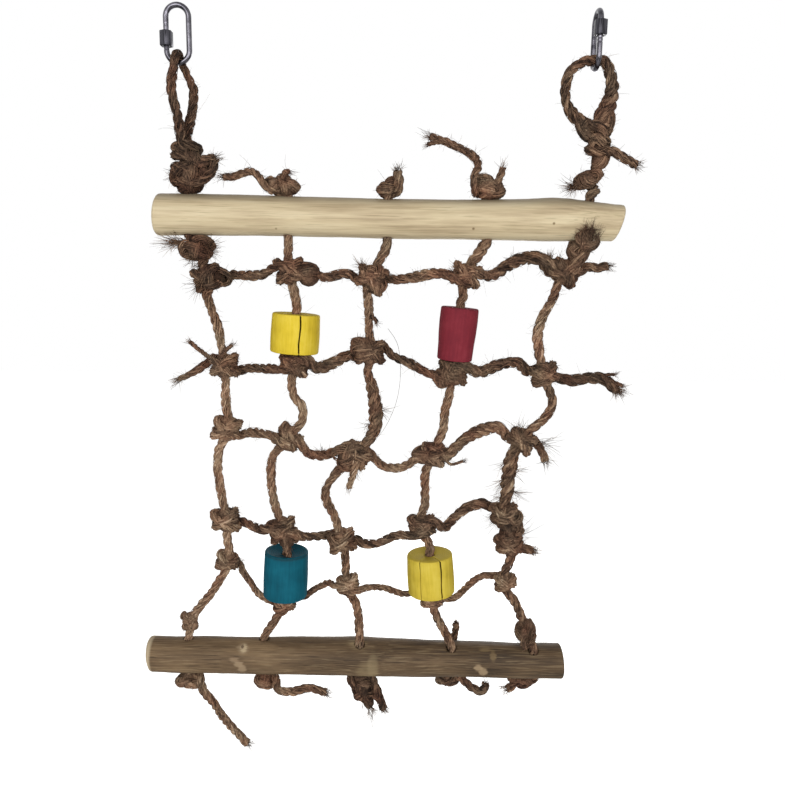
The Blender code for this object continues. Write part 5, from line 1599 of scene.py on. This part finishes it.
def dyedWood(name, look, base, axis, height, radius):
    # softwood dowel soaked in food dye: matt, the grain takes the dye unevenly
    mat, tree, shader = newMaterial(name + "Dye", {"Roughness": 0.75, "Specular IOR Level": 0.14})
    place = addNode(tree, "TexCoord").outputs["Object"]
    inputs = {"Vector": place, "Location": base, "Rotation": up.rotation_difference(axis).to_euler()}
    local = addNode(tree, "Mapping", {"vector_type": "TEXTURE"}, inputs)
    # grain lines 1.6 mm wide and 25 mm long, clouds of 12 mm
    drawn = addNode(tree, "Mapping", inputs={"Vector": local, "Scale": (1 / 0.0016, 1 / 0.0016, 1 / 0.025)})
    grain = addNode(
        tree, "TexNoise", inputs={"Vector": drawn, "Scale": 1.0, "Detail": 5.0, "Roughness": 0.65}
    )
    cloud = addNode(tree, "TexNoise", inputs={"Vector": local, "Scale": 1 / 0.012, "Detail": 3.0})
    tone = 0.0
    for source, share in ((grain, 0.55), (cloud, 0.55)):
        tone = addNode(tree, "Math", {"operation": "MULTIPLY_ADD"}, {0: source, 1: share, 2: tone})
    shades = list(zip((0.30, 0.55, 0.80), look["shades"]))
    colour = addNode(tree, "ValToRGB", inputs={"Fac": tone}, stops=shades)
    # end grain: darker, with growth rings 1.5 mm apart
    rings = addNode(
        tree,
        "TexWave",
        {"wave_type": "RINGS", "rings_direction": "Z"},
        {"Vector": local, "Scale": 1 / 0.0047, "Distortion": 1.5, "Detail": 2.0, "Detail Scale": 1.0},
    )
    ends = {0: rings.outputs["Fac"], 6: hexColour(look["endTint"]), 7: colour}
    ringed = addNode(tree, "Mix", colourMix, ends)
    parts = addNode(tree, "SeparateXYZ", inputs={0: local})
    ranges = {"From Min": height - 0.0030, "From Max": height - 0.0004, "To Max": 0.75}
    cap = addNode(tree, "MapRange", smoothStep, {"Value": parts.outputs["Z"], **ranges})
    last = addNode(tree, "Mix", colourMix, {0: cap, 6: colour, 7: ringed.outputs[2]}).outputs[2]
    # the walls of each crack are painted dark, as the shade inside the crack
    flat = addNode(tree, "CombineXYZ", inputs={"X": parts.outputs["X"], "Y": parts.outputs["Y"]})
    middle = addNode(tree, "Math", {"operation": "SUBTRACT"}, {0: parts.outputs["Z"], 1: height / 2})
    middle = addNode(tree, "Math", {"operation": "ABSOLUTE"}, {0: middle})
    for angle, width, depth in look["cracks"]:
        out = Vector((math.cos(math.radians(angle)), math.sin(math.radians(angle)), 0))
        inward = addNode(tree, "VectorMath", {"operation": "DOT_PRODUCT"}, {0: flat, 1: out}).outputs["Value"]
        aside = addNode(tree, "VectorMath", {"operation": "DOT_PRODUCT"}, {0: flat, 1: up.cross(out)})
        apart = addNode(tree, "Math", {"operation": "ABSOLUTE"}, {0: aside.outputs["Value"]})
        # where each measure begins to count, and where it counts fully
        limits = (
            (apart, width / 2 + 0.0009, width / 2 + 0.0006),
            (inward, radius - depth, radius - depth + 0.0005),
            (inward, radius - 0.0002, radius - 0.0006),
            (middle, height / 2 - 0.0007, height / 2 - 0.0010),
        )
        mask = 1.0
        for measure, none, full in limits:
            share = addNode(tree, "MapRange", inputs={"Value": measure, "From Min": none, "From Max": full})
            mask = addNode(tree, "Math", {"operation": "MULTIPLY"}, {0: mask, 1: share})
        last = addNode(tree, "Mix", colourMix, {0: mask, 6: last, 7: hexColour("#3a2f12")}).outputs[2]
    tree.links.new(last, shader.inputs["Base Color"])
    bump = addNode(tree, "Bump", inputs={"Height": grain, "Strength": 0.35, "Distance": 0.0005})
    tree.links.new(bump.outputs["Normal"], shader.inputs["Normal"])
    return mat


beadMesh = {"sides": 72, "edge": 0.0012, "rough": 0.00022, "crackSteps": 24, "crackWander": 0.0006}


def buildBead(name, base, axis):
    look = beadLook[name]
    size = beadSizes[name]
    bore = ropeR + sizes["boreClear"]
    low, high, tall = size["bottom"] / 2, size["top"] / 2, size["height"]
    edge, dish = beadMesh["edge"], look["dish"]
    bm = bmesh.new()
    profile = [
        (bore, 0.0), (low - edge, 0.0), (low - edge * 0.3, edge * 0.3), (low, edge),
        (low + 0.0002, tall * 0.3), ((low + high) / 2 + 0.0003, tall / 2), (high + 0.0002, tall * 0.75),
        (high, tall - edge),
        (high - edge * 0.3, tall - edge * 0.3), (high - edge, tall), (high * 0.75, tall - dish * 0.6),
        (bore + 0.001, tall - dish), (bore, tall - dish - 0.0004),
    ]
    verts = [bm.verts.new((r, 0, z)) for r, z in profile]
    edges = [bm.edges.new((a, b)) for a, b in zip(verts, verts[1:] + verts[:1])]
    bmesh.ops.spin(
        bm,
        geom=verts + edges,
        cent=(0, 0, 0),
        axis=(0, 0, 1),
        angle=2 * math.pi,
        steps=beadMesh["sides"],
        use_merge=True,
    )
    bmesh.ops.remove_doubles(bm, verts=bm.verts, dist=1e-6)
    bmesh.ops.recalc_face_normals(bm, faces=bm.faces)
    for vert in bm.verts:
        outer = math.hypot(vert.co.x, vert.co.y)
        if outer > bore + 0.002:
            grit = noise.noise((vert.co.x * 180, vert.co.y * 180, vert.co.z * 60))
            vert.co.xy *= 1 + beadMesh["rough"] / outer * grit
    place = Matrix.Translation(base) @ up.rotation_difference(axis).to_matrix().to_4x4()
    obj = meshFrom(bm, name + "_drum", dyedWood(name, look, base, axis, tall, min(low, high)), 35)
    wedges = []
    for n, (angle, width, depth) in enumerate(look["cracks"]):
        wedge = bmesh.new()
        bmesh.ops.create_cube(wedge, size=1)
        bmesh.ops.scale(wedge, verts=wedge.verts, vec=(2 * depth, width, 2 * tall))
        longEdges = [e for e in wedge.edges if abs(e.verts[0].co.z - e.verts[1].co.z) > tall]
        bmesh.ops.subdivide_edges(wedge, edges=longEdges, cuts=beadMesh["crackSteps"])
        for vert in wedge.verts:
            vert.co.y *= 0.25 if vert.co.x < 0 else 1.0
            vert.co.y += beadMesh["crackWander"] * noise.noise((vert.co.z * 90, n * 5.0, 0.0))
        bmesh.ops.translate(wedge, verts=wedge.verts, vec=(max(low, high), 0, tall / 2))
        bmesh.ops.rotate(wedge, verts=wedge.verts, matrix=Matrix.Rotation(math.radians(angle), 3, "Z"))
        wedges.append(meshFrom(wedge, f"wedge_{n}", obj.data.materials[0]))
    if wedges:
        cutAway(obj, wedges)
    obj.data.transform(place)
    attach(obj, name)
    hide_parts(name)


for column in columns:
    for name, (base, axis) in columns[column][3].items():
        buildBead(name, base, axis)
print("beads strung")


# Quick links: zinc plated wire with a threaded sleeve on the open side

linkLook = {
    "gap": 0.0046,
    "thread": 0.0022,
    "threadPitch": 0.0007,
    "threadDepth": 0.00013,
    "sleeveLength": 0.0090,
    "flats": 0.0072,
    "clear": 0.0003,
    "rimEdge": 0.0006,
    "flatEdge": 0.00025,
}


def zincSteel(name, stops, marks, rough):
    # zinc plated steel: the drawn wire is bright and cloudy, the turned sleeve dark with fine lines along it
    mat, tree, shader = newMaterial(name, {"Roughness": 0.30, "Metallic": 1.0})
    place = addNode(tree, "TexCoord").outputs["Object"]
    spread = addNode(tree, "Mapping", inputs={"Vector": place, "Scale": [1 / size for size in marks]})
    cloud = addNode(tree, "TexNoise", inputs={"Vector": spread, "Scale": 1.0, "Detail": 3.0})
    colour = addNode(tree, "ValToRGB", inputs={"Fac": cloud}, stops=stops)
    tree.links.new(colour.outputs["Color"], shader.inputs["Base Color"])
    gloss = addNode(tree, "MapRange", inputs={"Value": cloud, "To Min": rough[0], "To Max": rough[1]})
    tree.links.new(gloss.outputs[0], shader.inputs["Roughness"])
    return mat


def buildLink(side, x, face, sleeveHigh):
    half = (sizes["linkInnerWidth"] + sizes["linkWire"]) / 2
    top = sizes["linkWire"] / 2 - half
    low = linkLowZ + half
    sleeveZ = low + linkLook["thread"] + linkLook["sleeveLength"] / 2
    if sleeveHigh:
        sleeveZ = top - linkLook["sleeveLength"] / 2
    gapLow = sleeveZ - linkLook["gap"] / 2
    gapHigh = sleeveZ + linkLook["gap"] / 2
    spots = [(-half, gapHigh + (top - gapHigh) * n / 30) for n in range(31)]
    for a in range(174, 0, -6):
        spots.append((half * math.cos(math.radians(a)), top + half * math.sin(math.radians(a))))
    spots += [(half, top + (low - top) * n / 8) for n in range(9)]
    for a in range(-6, -180, -6):
        spots.append((half * math.cos(math.radians(a)), low + half * math.sin(math.radians(a))))
    spots += [(-half, low + (gapLow - low) * n / 24) for n in range(25)]
    points = [Vector((x, 0, 0)) + face * s + up * z for s, z in spots]
    radii = []
    for s, z in spots:
        threaded = s < -half + 1e-6 and abs(z - sleeveZ) < linkLook["sleeveLength"]
        groove = threaded and round(z / linkLook["threadPitch"] * 2) % 2
        radii.append(sizes["linkWire"] / 2 - (linkLook["threadDepth"] if groove else 0.0))
    link = curveMesh(f"link_{side}_wire", [(points, radii, [0.5] * len(points))], wireSteel, sides=6)
    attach(link, "hangers")
    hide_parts(f"quick_link_{side}")

    bm = bmesh.new()
    corner = linkLook["flats"] / math.sqrt(3)
    bmesh.ops.create_cone(
        bm, cap_ends=True, segments=6, radius1=corner, radius2=corner, depth=linkLook["sleeveLength"]
    )
    rims = [e for e in bm.edges if abs(e.verts[0].co.z - e.verts[1].co.z) < 1e-6]
    bmesh.ops.bevel(
        bm, geom=rims, offset=linkLook["rimEdge"], segments=2, profile=0.5, affect="EDGES", material=-1
    )
    uprights = [e for e in bm.edges if abs(e.verts[0].co.z - e.verts[1].co.z) > 0.004]
    bmesh.ops.bevel(
        bm, geom=uprights, offset=linkLook["flatEdge"], segments=2, profile=0.5, affect="EDGES", material=-1
    )
    middle = Vector((x, 0, sleeveZ)) - face * half
    sleeve = meshFrom(bm, f"sleeve_{side}_nut", sleeveSteel, 25)
    drill = bmesh.new()
    bore = sizes["linkWire"] / 2 + linkLook["clear"]
    bmesh.ops.create_cone(drill, cap_ends=True, segments=32, radius1=bore, radius2=bore, depth=0.03)
    cutAway(sleeve, [meshFrom(drill, "drill", sleeveSteel)])
    sleeve.data.transform(Matrix.Translation(middle))
    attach(sleeve, f"sleeve_{side}")
    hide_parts(f"link_sleeve_{side}")


# the wire's marks are about 5 mm, the sleeve's lines 0.5 mm apart and 17 mm long
wireShades = [(0.3, "#39383d"), (0.7, "#75737a")]
sleeveShades = [(0.35, "#1f1e21"), (0.65, "#55545a")]
wireSteel = zincSteel("zincPlatedWire", wireShades, (0.005, 0.005, 0.005), (0.16, 0.30))
sleeveSteel = zincSteel("zincPlatedSleeve", sleeveShades, (0.0005, 0.0005, 1 / 60), (0.30, 0.45))
buildLink("left", sizes["linkLeftX"], Vector((1, 0, 0)), False)
buildLink("right", sizes["linkRightX"], Vector((0, 1, 0)), True)
print("links closed")


bpy.context.view_layer.update()
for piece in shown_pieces():
    piece.data.calc_loop_triangles()
